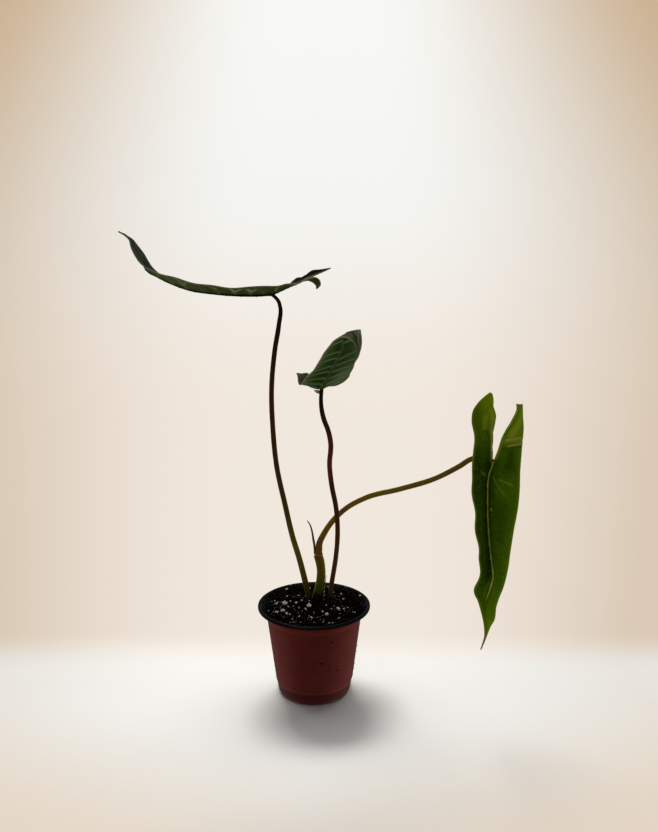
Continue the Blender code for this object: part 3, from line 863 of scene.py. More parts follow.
        # Towards its tip the blade may take on the lobes' colour
        for _, grids in halves:
            grids["lobe"] = self.tip_lobe * np.clip((grids["along"] / knots[-1] - 0.6) / 0.2, 0, 1)
        (left, left_grids), (right, right_grids) = halves
        main = np.concatenate([left[:, :0:-1], right], axis=1)
        measures = {
            name: np.concatenate([grid[:, :0:-1], right_grids[name]], axis=1)
            for name, grid in left_grids.items()
        }
        (left, left_grids), right_part = lobes
        left_part = left[:, ::-1], {name: grid[:, ::-1] for name, grid in left_grids.items()}
        return [(main, measures), left_part, right_part]

    def mark_field(self, along: np.ndarray, side: np.ndarray, upper: np.ndarray | None) -> np.ndarray:
        """Return how strongly each point is marked, or how far the marks lift it.

        Args:
            along: Distance along the midrib of each point.
            side: Signed share of the half's width.
            upper: 1 on the upper face, 0 on the underside; without it, the marks' relief is returned.

        Returns:
            One number a point: a strength from -1 to 1, or a height in millimetres.
        """
        field = np.zeros_like(along)
        scale = self.full_width()
        here = np.stack([along, side * scale], -1)
        for mark in self.marks:
            start, end = (np.array([place[0], place[1] * scale]) for place in (mark.start, mark.end))
            run = end - start
            t = np.clip((here - start) @ run / max(run @ run, 1e-9), 0, 1)
            off = np.linalg.norm(here - start - t[..., None] * run, axis=-1)
            line = np.exp(-((off / mark.width) ** 2))
            if upper is None:
                field = field + mark.relief * line
            else:
                line = mark.strength * line * (np.abs(upper - mark.face.value) < 0.6)
                field = np.where(np.abs(line) > np.abs(field), line, field)
        return field

    def full_width(self) -> float:
        """Return the width of a half at the second section, between the midrib and the right margin."""
        return float(np.linalg.norm(np.array(self.sections[1][2]) - np.array(self.sections[1][0])))

    def colouring(self, values: Mapping[str, np.ndarray]) -> dict[str, np.ndarray]:
        """Work out the attributes that only the material reads.

        Args:
            values: The blade's measures at each point, with upper.

        Returns:
            The attributes scar, shade and tip.
        """
        along, reach, vein = values["along"], values["reach"], values["vein"]
        # Painted shade: on the upper face one half darker where it turns from the light, darker beside the
        # midrib and less towards the lobes; underneath, darker in the hollows between the veins near the
        # midrib.
        left, right = self.upper_shade
        right_half = (1 + np.tanh(4 * values["side"])) / 2
        upper = left * (1 - right_half) + right * right_half
        upper = upper + self.rib_shade * np.exp(-((reach / self.rib_shade_reach) ** 2))
        between = np.clip(vein / (0.35 * self.vein_pitch), 0, 1) ** 0.7
        inside = np.exp(-((reach / self.under_reach) ** 3))
        light, dark = self.under_shade
        under = light + (dark - light) * between * inside
        shade = np.where(values["upper"] > 0.4, upper * (1 - self.lobe_light * values["lobe"]), under)
        tip = np.clip((along - along.max()) / self.drip + 1, 0, 1) ** 0.7
        return {"scar_and_painted_light": self.mark_field(along, values["side"], values["upper"]), "shade": shade, "tip": tip}

    def build(self) -> Object:
        """Build the blade as one closed solid and dress it.

        Returns:
            The finished piece.
        """
        parts, part_grids = zip(*self.grids())
        starts = np.cumsum([0] + [part.shape[0] * part.shape[1] for part in parts])
        main, left, right = (
            np.arange(part.shape[0] * part.shape[1]).reshape(part.shape[:2]) + start
            for part, start in zip(parts, starts)
        )
        faces = np.concatenate([grid_faces(numbers) for numbers in (
            main, np.concatenate([left, main[:1, :self.columns]]),
            np.concatenate([right, main[:1, self.columns - 1:]]),
        )])
        top = np.concatenate([part.reshape(-1, 3) for part in parts]) + np.array(self.junction)
        measure = {
            name: np.concatenate([grids[name].reshape(-1) for grids in part_grids]) for name in part_grids[0]
        }
        fade = np.clip(1 - measure["along"] / measure["along"].max(), 0.12, 1)
        basal = np.where(measure["along"] < 0, 0.7 * (1 - measure["lobe"]) + 0.1, 1.0)
        ridge = self.rib_height * fade * basal * np.exp(-((measure["rib"] / self.rib_width) ** 2))
        veins = np.exp(-((measure["vein"] / self.vein_width) ** 2)) * (1 - measure["reach"] ** 2)
        bead = self.margin_bead * np.exp(-((measure["edge"] / self.bead_width) ** 2))
        thickness = self.lamina + ridge + self.vein_height * veins + bead
        places, solid, rim = close_sheet(top, faces, thickness)
        mesh = new_mesh(self.name, places, solid)
        values = {name: np.concatenate([grid, grid, grid[rim]]) for name, grid in measure.items()}
        values["upper"] = np.concatenate([np.ones(len(top)), np.zeros(len(top)), np.full(len(rim), 0.5)])
        values["edge"][2 * len(top):] = 0.0
        store(mesh, values | self.colouring(values))
        mesh.materials.append(self.skin.build())
        piece = add_piece(self.name, mesh)
        declare(piece, self.slot.value, self.node)
        return piece


def stalk_tree() -> NodeTree:
    """Build the Geometry Nodes tree that turns a route into a stalk.

    Returns:
        The tree. It sweeps a ring along the curve at each point's own radius, stores the along and skin
        attributes, and makes the surface a little uneven.
    """
    tree = new_geometry_tree("stalk", {
        "Int": ("Ring points", "Seed"), "Float": ("Unevenness", "Unevenness size"), "Material": ("Material",),
    })
    given = tree.nodes["Group Input"].outputs
    numbers = {"data_type": "FLOAT", "domain": "POINT"}
    vectors = {"data_type": "FLOAT_VECTOR", "domain": "POINT"}
    place = add_node(tree, "GeometryNodeSplineParameter").outputs
    route = given["Geometry"]
    for name, measure in (("along", place["Factor"]), ("distance", place["Length"])):
        route = add_node(tree, STORE, numbers, {"Geometry": route, "Name": name, "Value": measure}).outputs[0]
    size = {"Resolution": given["Ring points"], "Radius": 1.0}
    ring = add_node(tree, "GeometryNodeCurvePrimitiveCircle", inputs=size).outputs["Curve"]
    spot = add_node(tree, "GeometryNodeInputPosition").outputs[0]
    ring = add_node(tree, STORE, vectors, {"Geometry": ring, "Name": "ring", "Value": spot}).outputs[0]
    radius = add_node(tree, "GeometryNodeInputRadius").outputs[0]
    sweep = {"Curve": route, "Profile Curve": ring, "Scale": radius, "Fill Caps": True}
    tube = add_node(tree, "GeometryNodeCurveToMesh", inputs=sweep).outputs[0]
    around = add_node(tree, NAMED, {"data_type": "FLOAT_VECTOR"}, {"Name": "ring"}).outputs["Attribute"]
    distance = add_node(tree, NAMED, {"data_type": "FLOAT"}, {"Name": "distance"}).outputs["Attribute"]
    wide = add_node(tree, VECTOR_MATH, SCALE, {0: around, "Scale": SKIN_RADIUS}).outputs[0]
    in_mm = add_node(tree, MATH, MULTIPLY, {0: distance, 1: 1 / MM}).outputs[0]
    up = add_node(tree, "ShaderNodeCombineXYZ", inputs={"Z": in_mm}).outputs[0]
    skin = add_node(tree, VECTOR_MATH, {"operation": "ADD"}, {0: wide, 1: up}).outputs[0]
    tube = add_node(tree, STORE, vectors, {"Geometry": tube, "Name": "skin", "Value": skin}).outputs[0]
    tube = add_node(tree, "GeometryNodeSetShadeSmooth", inputs={"Geometry": tube}).outputs[0]
    uneven = {"Vector": spot, "W": given["Seed"], "Scale": given["Unevenness size"], "Detail": 2.0}
    lumps = add_node(tree, NOISE, {"noise_dimensions": "4D"}, uneven).outputs[0]
    centred = add_node(tree, MATH, {"operation": "SUBTRACT"}, {0: lumps, 1: 0.5}).outputs[0]
    depth = add_node(tree, MATH, MULTIPLY, {0: centred, 1: given["Unevenness"]}).outputs[0]
    normal = add_node(tree, "GeometryNodeInputNormal").outputs[0]
    end_tree(tree, tube, add_node(tree, VECTOR_MATH, SCALE, {0: normal, "Scale": depth}).outputs[0])
    return tree


def route_curve(name: str, paths: Sequence[np.ndarray], radii: Sequence[np.ndarray]) -> Object:
    """Make a curve object for the stalk tree.

    Args:
        name: The object's name.
        paths: Places along each stalk, in millimetres.
        radii: Its radius at each place.

    Returns:
        The object.
    """
    curve = bpy.data.curves.new(name, "CURVE")
    curve.dimensions = "3D"
    for path, radius in zip(paths, radii):
        line = curve.splines.new("POLY")
        line.points.add(len(path) - 1)
        line.points.foreach_set("co", np.column_stack([path * MM, np.ones(len(path))]).ravel())
        line.points.foreach_set("radius", radius * MM)
    source = bpy.data.objects.new(name, curve)
    bpy.context.scene.collection.objects.link(source)
    return source


@dataclass(frozen=True)
class Swelling:
    """A small bump on a stalk, such as the scar of a node."""

    place: Point
    height: float
    width: float

    def swell(self, mesh: Mesh) -> None:
        """Raise the bump on a mesh.

        Args:
            mesh: The stalk's mesh, in metres.
        """
        places, normals = np.empty(len(mesh.vertices) * 3), np.empty(len(mesh.vertices) * 3)
        mesh.vertices.foreach_get("co", places)
        mesh.vertex_normals.foreach_get("vector", normals)
        places = places.reshape(-1, 3) / MM
        off = np.linalg.norm(places - np.array(self.place), axis=1)
        places += normals.reshape(-1, 3) * (self.height * np.exp(-((off / self.width) ** 2)))[:, None]
        mesh.vertices.foreach_set("co", (places * MM).ravel())
        mesh.update()


@dataclass
class Stalk:
    """A petiole, stem or dry sheath that follows a given route from its buried foot upwards."""

    name: str
    node: str
    slot: Slot
    route: tuple[Point, ...]
    radii: tuple[float, ...]
    skin: Epidermis
    ring_points: int = 20
    unevenness: float = 0.25
    unevenness_size_mm: float = 9.0
    seed: int = 1
    step: float = 1.5
    swellings: tuple[Swelling, ...] = ()

    def build(self, tree: NodeTree) -> Object:
        """Build the stalk and dress it.

        Args:
            tree: The stalk tree.

        Returns:
            The finished piece.
        """
        points = np.array(self.route, float)
        knots = chord_knots(points)
        count = round(knots[-1] / self.step) + 1
        path = spline(knots, points, np.linspace(0.0, knots[-1], count))
        radii = np.interp(np.linspace(0.0, 1.0, count), np.linspace(0.0, 1.0, len(self.radii)), self.radii)
        piece = run_tree(route_curve(self.name, [path], [radii]), tree, {
            "Ring points": self.ring_points, "Unevenness": self.unevenness * MM,
            "Unevenness size": 1 / (self.unevenness_size_mm * MM), "Seed": self.seed,
            "Material": self.skin.build(),
        })
        for swelling in self.swellings:
            swelling.swell(piece.data)
        declare(piece, self.slot.value, *([self.node] if self.node else []))
        return piece


@dataclass
class ShootSheath:
    """The split, papery sheath round the shoot's foot: it hugs the shoot and flares into the soil.

    Its top dips between the split edges, which curl outwards, and shallow waves run up it.
    """

    name: str
    skin: Epidermis
    foot: Point = (2.4, 20.0, 79.0)
    top: Point = (7.6, 20.0, 105.0)
    foot_radius: float = 5.9
    top_radius: float = 4.35
    split: tuple[float, float] = (-28.0, 212.0)
    thickness: float = 0.4
    rows: int = 26
    columns: int = 36
    dip: float = 0.45
    hug: float = 0.6
    curl: float = 0.5
    wave: float = 0.15
    wave_count: int = 9

    def build(self) -> Object:
        """Build the sheath as one closed sheet.

        Returns:
            The finished piece.
        """
        up = np.linspace(0.0, 1.0, self.rows)[:, None]
        across = np.linspace(0.0, 1.0, self.columns)[None, :]
        bearing = np.radians(self.split[0] + (self.split[1] - self.split[0]) * across)
        opening = 2 * np.abs(across - 0.5)
        rise = up * (1 - self.dip + self.dip * opening**2)
        radius = self.foot_radius + (self.top_radius - self.foot_radius) * rise**self.hug
        radius = radius + self.curl * opening**6 * (1 - rise)
        radius = radius + self.wave * np.sin(self.wave_count * bearing + 6 * rise)
        foot, top = np.array(self.foot), np.array(self.top)
        places = foot + (top - foot) * rise[..., None]
        bearing = bearing + 0 * up
        ring = np.stack([np.cos(bearing), np.sin(bearing), 0 * bearing], -1)
        places = places + radius[..., None] * ring
        number = np.arange(self.rows * self.columns).reshape(self.rows, self.columns)
        thin = np.full(self.rows * self.columns, self.thickness)
        solid, sides, rim = close_sheet(places.reshape(-1, 3), grid_faces(number), thin)
        mesh = new_mesh(self.name, solid, sides)
        along = (rise + 0 * across).ravel()
        store(mesh, {"along": np.concatenate([along, along, along[rim]])})
        skin = mesh.attributes.new("skin", "FLOAT_VECTOR", "POINT")
        skin.data.foreach_set("vector", solid.astype(np.float32).ravel())
        mesh.materials.append(self.skin.build())
        piece = add_piece(self.name, mesh)
        declare(piece, Slot.SHOOT.value)
        return piece


@dataclass
class Profile:
    """A turned outline of (radius, height) points with rounded corners."""

    points: tuple[tuple[float, float], ...]
    rounding: float = 0.5
    corner_steps: int = 4

    def rounded(self) -> np.ndarray:
        """Return the outline with every corner inside it rounded.

        Returns:
            One radius and height a row.
        """
        points = np.array(self.points, float)
        result = [points[0]]
        for before, corner, after in zip(points[:-2], points[1:-1], points[2:]):
            back, on = before - corner, after - corner
            cut = min(self.rounding, 0.45 * np.linalg.norm(back), 0.45 * np.linalg.norm(on))
            first = corner + back / np.linalg.norm(back) * cut
            last = corner + on / np.linalg.norm(on) * cut
            for t in np.linspace(0, 1, self.corner_steps):
                result.append((1 - t) ** 2 * first + 2 * t * (1 - t) * corner + t**2 * last)
        result.append(points[-1])
        return np.array(result)


def turn(outline: np.ndarray, steps: int) -> tuple[np.ndarray, list[list[int]]]:
    """Turn an outline that starts and ends on the axis into a closed solid.

    Args:
        outline: Radius and height of each point; the first and the last have no radius.
        steps: Steps round the axis.

    Returns:
        Places and faces.
    """
    bearing = np.linspace(0, 2 * np.pi, steps, endpoint=False)
    rings = outline[1:-1]
    radius, height = rings[:, :1], rings[:, 1:]
    places = np.stack([radius * np.cos(bearing), radius * np.sin(bearing), height + 0 * bearing], -1)
    places = places.reshape(-1, 3)
    poles = np.array([[0.0, 0.0, outline[0, 1]], [0.0, 0.0, outline[-1, 1]]])
    number = np.arange(len(places)).reshape(len(rings), steps)
    after = np.roll(number, -1, axis=1)
    quads = np.stack([number[:-1], number[1:], after[1:], after[:-1]], -1).reshape(-1, 4).tolist()
    first, last = len(places), len(places) + 1
    quads += [[first, a, b] for a, b in zip(number[0], after[0])]
    quads += [[last, b, a] for a, b in zip(number[-1], after[-1])]
    return np.concatenate([places, poles]), quads


@dataclass
class NurseryPot:
    """The two-tone nursery pot: a thin moulding with a rolled rim, a shoulder and a foot band."""

    rim_radius: float
    height: float
    shoulder_radius: float = 44.9
    shoulder_top: float = 80.0
    shoulder_foot: float = 74.0
    wall_top_radius: float = 43.9
    wall_foot_radius: float = 36.3
    band_radius: float = 35.4
    band_top: float = 11.0
    base_radius: float = 31.5
    wall: float = 0.8
    steps: int = 192
    wobble: float = 0.22
    wobble_fade: float = 20.0
    wobble_twist: float = 15.0
    drain_count: int = 3
    drain_bearing: float = -50.0
    drain_width: float = 18.0
    drain_height: float = 3.5
    drain_inner_radius: float = 27.0
    drain_sides: int = 96
    crumb_edge: float = 50.6
    crumb_fade: float = 3.5
    crumb_lean: float = 60.0
    front_crumbs: float = 0.12
    flange: tuple[tuple[float, ...], ...] = ((44.1, 45.2, 46.8, 49.4, 50.2), (79.8, 80.5, 82.0, 84.3, 84.8))

    @classmethod
    def from_frame(cls) -> "NurseryPot":
        """Take the pot's rim and height from its CAD node."""
        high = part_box("pot")[1]
        return cls(rim_radius=high[0] / MM, height=high[2] / MM)

    def outline(self) -> tuple[np.ndarray, int]:
        """Draw the section of the wall, inside first.

        Returns:
            The rounded outline, and how many of its points belong to the black inside and rolled rim.
        """
        top, rim, shoulder, wall = self.height, self.rim_radius, self.shoulder_radius, self.wall
        inside = (
            (0.0, wall), (self.base_radius - 0.3, wall), (32.5, 2.0), (33.6, 4.2),
            (self.band_radius - wall, self.band_top + 0.2),
            (self.wall_foot_radius - wall, self.band_top + 2.3),
            (self.wall_top_radius - wall, self.shoulder_foot - 0.1),
            (shoulder - wall, self.shoulder_foot + 1.0), (shoulder - wall, self.shoulder_top - 0.6),
            (46.8, self.shoulder_top + 2.0), (49.4, top - 0.7),
            (50.2, top - 0.15), (51.4, top), (rim - 0.2, top - 0.5), (rim, top - 1.5), (rim - 0.1, top - 2.7),
            (51.6, top - 3.4), (50.6, top - 3.1), (50.1, top - 2.5),
        )
        outside = (
            (49.0, top - 2.9), (47.4, self.shoulder_top + 1.2), (45.4, self.shoulder_top - 0.3),
            (shoulder, self.shoulder_top - 1.4), (shoulder - 0.2, self.shoulder_foot + 0.8),
            (self.wall_top_radius + 0.1, self.shoulder_foot - 0.4), (self.wall_top_radius - 0.3, 70.0),
            (self.wall_foot_radius + 0.1, self.band_top + 2.4), (self.band_radius + 0.1, self.band_top + 0.3),
            (self.band_radius - 1.0, 4.0), (33.6, 1.6), (32.8, 0.4), (self.base_radius, 0.0), (0.0, 0.0),
        )
        black = Profile(inside + outside[:1]).rounded()
        return Profile(inside + outside).rounded(), len(black) - 1

    def flange_height(self, away: float) -> float:
        """Return the height of the sloping flange inside the rim at a distance from the axis."""
        return float(np.interp(away, *self.flange))

    def flange_ground(self) -> Object:
        """Build a bare copy of the flange for soil to be strewn on, thickest at the back.

        Returns:
            The copy, which main removes after the grains are strewn.
        """
        radii = np.linspace(self.wall_top_radius, self.crumb_edge - 0.6, 8)
        outline = np.array([(0.0, 70.0)] + [(r, self.flange_height(r)) for r in radii] + [(0.0, 90.0)])
        places, faces = turn(outline, self.steps)
        poles = {len(places) - 2, len(places) - 1}
        ground = new_mesh("flange_ground", places, [face for face in faces if not poles & set(face)])
        behind = np.clip(0.5 + places[:, 1] / self.crumb_lean, 0.0, 1.0)
        outer = np.clip((self.crumb_edge - np.hypot(places[:, 0], places[:, 1])) / self.crumb_fade, 0.0, 1.0)
        share = self.front_crumbs + (1 - self.front_crumbs) * behind**1.5
        store(ground, {"crumbs": share * outer})
        return add_piece("flange_ground", ground)

    def wall_place(self, bearing: float, height: float) -> Point:
        """Find a place on the outside of the wall.

        Args:
            bearing: Bearing in degrees, 0 at the right and -90 towards the viewer.
            height: Height above the floor.

        Returns:
            The place.
        """
        away = float(np.interp(
            height, (self.band_top + 2.3, self.shoulder_foot), (self.wall_foot_radius, self.wall_top_radius),
        )) + 0.1
        turned = math.radians(bearing)
        return away * math.cos(turned), away * math.sin(turned), height

    def build(self, red: Material, black: Material) -> Object:
        """Build the pot with its drainage notches and both colours.

        Args:
            red: Finish of the outside.
            black: Finish of the inside and the rolled rim.

        Returns:
            The finished piece.
        """
        outline, black_points = self.outline()
        places, faces = turn(outline, self.steps)
        bearing = np.arctan2(places[:, 1], places[:, 0])
        height, fade = places[:, 2], self.wobble_fade
        free = np.clip((self.shoulder_foot - height) / fade, 0, 1) * np.clip(height / fade, 0, 1)
        away = np.linalg.norm(places[:, :2], axis=1)
        wave = np.sin(3 * bearing + 0.6) + 0.6 * np.sin(5 * bearing + height / self.wobble_twist)
        scale = (away + self.wobble * free * wave) / np.maximum(away, 1e-6)
        places[:, :2] *= np.where(away > 10, scale, 1.0)[:, None]
        mesh = new_mesh("pot_shell", places, faces)
        mesh.materials.append(red)
        mesh.materials.append(black)
        edge = black_points * self.steps
        last = len(places) - 1
        tone = [last not in face and max(v for v in face if v < last - 1) < edge for face in faces]
        mesh.polygons.foreach_set("material_index", np.array(tone, np.int32))
        pot = add_piece("pot_shell", mesh)
        for number in range(self.drain_count):
            self.cut_notch(pot, math.radians(self.drain_bearing + 360.0 * number / self.drain_count), number)
        graph = bpy.context.evaluated_depsgraph_get()
        cut = bpy.data.meshes.new_from_object(pot.evaluated_get(graph), depsgraph=graph)
        cutters = [modifier.object for modifier in pot.modifiers]
        bpy.data.objects.remove(pot, do_unlink=True)
        for cutter in cutters:
            bpy.data.objects.remove(cutter, do_unlink=True)
        cut.name = "pot_shell"
        piece = add_piece("pot_shell", cut)
        declare(piece, Slot.POT.value, "pot")
        return piece

    def cut_notch(self, pot: Object, bearing: float, number: int) -> None:
        """Cut one arched drainage notch through the pot's foot.

        Args:
            pot: The pot.
            bearing: The notch's bearing in radians.
            number: The notch's number.
        """
        radius = (self.drain_width**2 / 4 + self.drain_height**2) / (2 * self.drain_height)
        sides = self.drain_sides
        turned = np.linspace(0, 2 * np.pi, sides, endpoint=False)
        ring = np.stack([np.sin(turned) * radius, np.cos(turned) * radius + self.drain_height - radius], -1)
        out = np.array([math.cos(bearing), math.sin(bearing), 0.0])
        aside = np.array([-math.sin(bearing), math.cos(bearing), 0.0])
        flat = ring[:, :1] * aside + ring[:, 1:] * np.array([0.0, 0.0, 1.0])
        places = np.concatenate([flat + out * self.drain_inner_radius, flat + out * self.rim_radius])
        near = np.arange(sides)
        far = np.roll(near, -1)
        faces = [[a, b, b + sides, a + sides] for a, b in zip(near, far)]
        faces += [list(near[::-1]), list(near + sides)]
        mesh = new_mesh(f"notch_{number}", places, faces)
        for material in pot.data.materials:
            mesh.materials.append(material)
        mesh.polygons.foreach_set("material_index", [1] * len(mesh.polygons))
        shape = bmesh.new()
        shape.from_mesh(mesh)
        bmesh.ops.recalc_face_normals(shape, faces=shape.faces)
        shape.to_mesh(mesh)
        shape.free()
        cutter = add_piece(mesh.name, mesh)
        cut = pot.modifiers.new(cutter.name, "BOOLEAN")
        cut.operation = "DIFFERENCE"
        cut.solver = "EXACT"
        cut.object = cutter


@dataclass
class SoilBed:
    """The peat bed: it fills the pot, and its crumbly top carries perlite, bark and root fibres."""

    edge: float
    top: float = 79.0
    mound: float = 1.8
    crumb: float = 0.8
    crumb_pitch: float = 7.0
    rings: int = 84
    steps: int = 180
    fine: float = 1.1
    fine_size: float = 2.6
    fine_roughness: float = 0.9
    fine_step: float = 2.1
    fine_octaves: int = 4
    bare_spot: tuple[float, float] = (2.0, 6.0)
    bare_radius: float = 9.0
    bare_middle: float = 0.6
    grit_middle: float = 0.75
    grit_right: float = 0.3
    bare_edge: float = 0.5
    edge_fade: float = 1.5
    side: tuple[tuple[float, float], ...] = (
        (42.8, 73.6), (35.2, 13.3), (34.3, 11.2), (32.5, 4.4), (32.2, 2.3), (30.9, 1.1), (0.0, 1.1),
    )

    @classmethod
    def from_frame(cls) -> "SoilBed":
        """Take the bed's edge from its CAD node."""
        return cls(edge=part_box("soil")[1][0] / MM)

    def height(self, x: float, y: float) -> float:
        """Return the height of the soil over a point: the CAD's mound and crumbs, with finer ones.

        Args:
            x: Distance to the right of the pot's middle.
            y: Distance behind it.

        Returns:
            The height in millimetres.
        """
        away = math.hypot(x, y) / self.edge
        turned = 2 * math.pi / self.crumb_pitch
        crumb = math.sin(turned * x + 1.3) * math.cos(turned * y - 0.6)
        crumb += 0.6 * math.sin(turned * (0.6 * x - 1.2 * y))
        spot = Vector((x, y, 0)) / self.fine_size
        fine = noise.fractal(spot, self.fine_roughness, self.fine_step, self.fine_octaves)
        coarse = self.top + self.mound * (1 - away * away) + self.crumb * crumb * (1 - away**6)
        return coarse + self.fine * fine

    def build(self, finish: Material) -> Object:
        """Build the bed as one closed solid, and a bare copy of its top for scattering.

        Args:
            finish: Finish of the peat.

        Returns:
            The copy, which main removes after the grains are strewn.
        """
        radii = self.edge * (np.linspace(0, 1, self.rings) ** 0.9)
        surface = [(radius, self.top) for radius in radii]
        places, faces = turn(np.array(surface + [(self.edge, 75.6), *self.side]), self.steps)
        for place in places:
            if place[2] > self.top - 0.01:
                place[2] = self.height(place[0], place[1])
        mesh = new_mesh("soil_bed", places, faces)
        mesh.materials.append(finish)
        bed = add_piece("soil_bed", mesh)
        declare(bed, Slot.PEAT.value, "soil")
        last, low_pole = (self.rings - 1) * self.steps, len(places) - 1
        keep = [
            face for face in faces
            if low_pole not in face and max(v for v in face if v < low_pole - 1) < last
        ]
        ground = new_mesh("ground", places, keep)
        x, y = places[:, 0], places[:, 1]
        spare = np.hypot(x - self.bare_spot[0], y - self.bare_spot[1]) / self.bare_radius
        left = np.clip(self.grit_middle - x / (2 * self.edge), self.grit_right, 1.0)
        inside = np.clip((self.edge - self.bare_edge - np.hypot(x, y)) / self.edge_fade, 0, 1)
        grit = left * np.clip(spare - self.bare_middle, 0, 1) * inside
        store(ground, {"grit": grit, "crumbs": inside})
        return add_piece("ground", ground)


class Lay(Enum):
    """How grains come to lie: strewn over a surface, or each in its own place."""

    STREWN = "strewn"
    PLACED = "placed"


def grain_tree(lay: Lay) -> NodeTree:
    """Build the Geometry Nodes tree that lays lumpy grains.

    Args:
        lay: Whether grains are strewn over the surface or stand on its points, at the points' own size.

    Returns:
        The tree. Each grain is a small ball, stretched, turned and made lumpy by noise.
    """
    sizes = ["Length", "Flatness", "Lump", "Lump size"]
    inputs = {"Float": sizes, "Int": ["Detail"], "Material": ["Material"]}
    if lay is Lay.STREWN:
        inputs["Float"] += ["Density", "Smallest", "Largest"]
        inputs["Int"] += ["Seed"]
        inputs["String"] = ["Mask"]
    tree = new_geometry_tree(f"grains_{lay.value}", inputs)
    given = tree.nodes["Group Input"].outputs
    number, vector = {"data_type": "FLOAT"}, {"data_type": "FLOAT_VECTOR"}
    if lay is Lay.STREWN:
        points, radius = strew_points(tree, given)
    else:
        points = given["Geometry"]
        radius = add_node(tree, NAMED, number, {"Name": "size"}).outputs["Attribute"]
    points = add_node(
        tree, STORE, number | {"domain": "POINT"}, {"Geometry": points, "Name": "size", "Value": radius},
    ).outputs[0]
    sides = {0: given["Length"], 1: 1.0, 2: given["Flatness"]}
    stretch = add_node(tree, "ShaderNodeCombineXYZ", inputs=sides).outputs[0]
    share = {0: (GRAIN_SHARES[0],) * 3, 1: (GRAIN_SHARES[1],) * 3, "Seed": 7}
    own = add_node(tree, RANDOM, vector, share).outputs[0]
    uneven = add_node(tree, VECTOR_MATH, MULTIPLY, {0: own, 1: stretch}).outputs[0]
    shape = add_node(tree, VECTOR_MATH, SCALE, {0: uneven, "Scale": radius}).outputs[0]
    span = {0: (-GRAIN_TILT, -GRAIN_TILT, -math.pi), 1: (GRAIN_TILT, GRAIN_TILT, math.pi)}
    tilt = add_node(tree, RANDOM, vector, span).outputs[0]
    turned = add_node(tree, "FunctionNodeEulerToRotation", inputs={0: tilt}).outputs[0]
    size = {"Radius": 1.0, "Subdivisions": given["Detail"]}
    ball = add_node(tree, "GeometryNodeMeshIcoSphere", inputs=size).outputs["Mesh"]
    balls = {"Points": points, "Instance": ball, "Rotation": turned, "Scale": shape}
    grains = add_node(tree, "GeometryNodeInstanceOnPoints", inputs=balls).outputs[0]
    real = add_node(tree, "GeometryNodeRealizeInstances", inputs={"Geometry": grains}).outputs[0]
    spot = add_node(tree, "GeometryNodeInputPosition").outputs[0]
    lumpy = {"Vector": spot, "Scale": given["Lump size"], "Detail": 1.0}
    lumps = add_node(tree, NOISE, inputs=lumpy).outputs["Color"]
    middle = {0: lumps, 1: (0.5, 0.5, 0.5)}
    centred = add_node(tree, VECTOR_MATH, {"operation": "SUBTRACT"}, middle).outputs[0]
    own_size = add_node(tree, NAMED, number, {"Name": "size"}).outputs["Attribute"]
    depth = add_node(tree, MATH, MULTIPLY, {0: own_size, 1: given["Lump"]}).outputs[0]
    end_tree(tree, real, add_node(tree, VECTOR_MATH, SCALE, {0: centred, "Scale": depth}).outputs[0])
    return tree


def strew_points(tree: NodeTree, given: bpy.types.bpy_prop_collection) -> tuple[NodeSocket, NodeSocket]:
    """Add the nodes that strew points over a surface and draw their sizes, most of them small.

    Args:
        tree: The tree.
        given: Its named inputs.

    Returns:
        The points and their radius.
    """
    mask = add_node(tree, NAMED, {"data_type": "FLOAT"}, {"Name": given["Mask"]}).outputs["Attribute"]
    density = add_node(tree, MATH, MULTIPLY, {0: mask, 1: given["Density"]}).outputs[0]
    strewn = {"Mesh": given["Geometry"], "Density": density, "Seed": given["Seed"]}
    points = add_node(tree, "GeometryNodeDistributePointsOnFaces", inputs=strewn).outputs["Points"]
    drawn = add_node(tree, RANDOM, {"data_type": "FLOAT"}).outputs[1]
    bias = add_node(tree, MATH, {"operation": "POWER"}, {0: drawn, 1: SMALL_GRAIN_BIAS}).outputs[0]
    sizes = {"Value": bias, "To Min": given["Smallest"], "To Max": given["Largest"]}
    return points, add_node(tree, RANGE, inputs=sizes).outputs[0]


@dataclass
class Grains:
    """One kind of grain, lumpy and a little flat."""

    name: str
    finish: Speckled
    slot: Slot = Slot.PEAT
    length: float = 1.0
    flatness: float = 0.8
    lump: float = 1.3
    lump_size: float = 1.5
    detail: int = 1

    def lay(self, source: Object, tree: NodeTree, values: Mapping[str, Any]) -> Object:
        """Lay the grains on a source and dress them.

        Args:
            source: The surface or points that they lie on; it is used up.
            tree: The grain tree.
            values: Values of the inputs that only this way of laying has.

        Returns:
            The finished piece.
        """
        piece = run_tree(source, tree, {
            "Length": self.length, "Flatness": self.flatness, "Lump": self.lump,
            "Lump size": 1 / (self.lump_size * MM), "Detail": self.detail, "Material": self.finish.build(),
            **values,
        })
        declare(piece, self.slot.value)
        return piece


@dataclass
class StrewnGrains(Grains):
    """Grains strewn over a surface."""

    per_square_cm: float = 10.0
    smallest: float = 0.8
    largest: float = 2.0
    mask: str = "crumbs"
    seed: int = 3

    def build(self, ground: Object, tree: NodeTree) -> Object:
        """Strew the grains.

        Args:
            ground: The surface that they lie on.
            tree: The strewing tree.

        Returns:
            The finished piece.
        """
        source = ground.copy()
        source.data = ground.data.copy()
        source.name = self.name
        bpy.context.scene.collection.objects.link(source)
        return self.lay(source, tree, {
            "Density": self.per_square_cm * 1e4, "Mask": self.mask, "Seed": self.seed,
            "Smallest": self.smallest / 2 * MM, "Largest": self.largest / 2 * MM,
        })


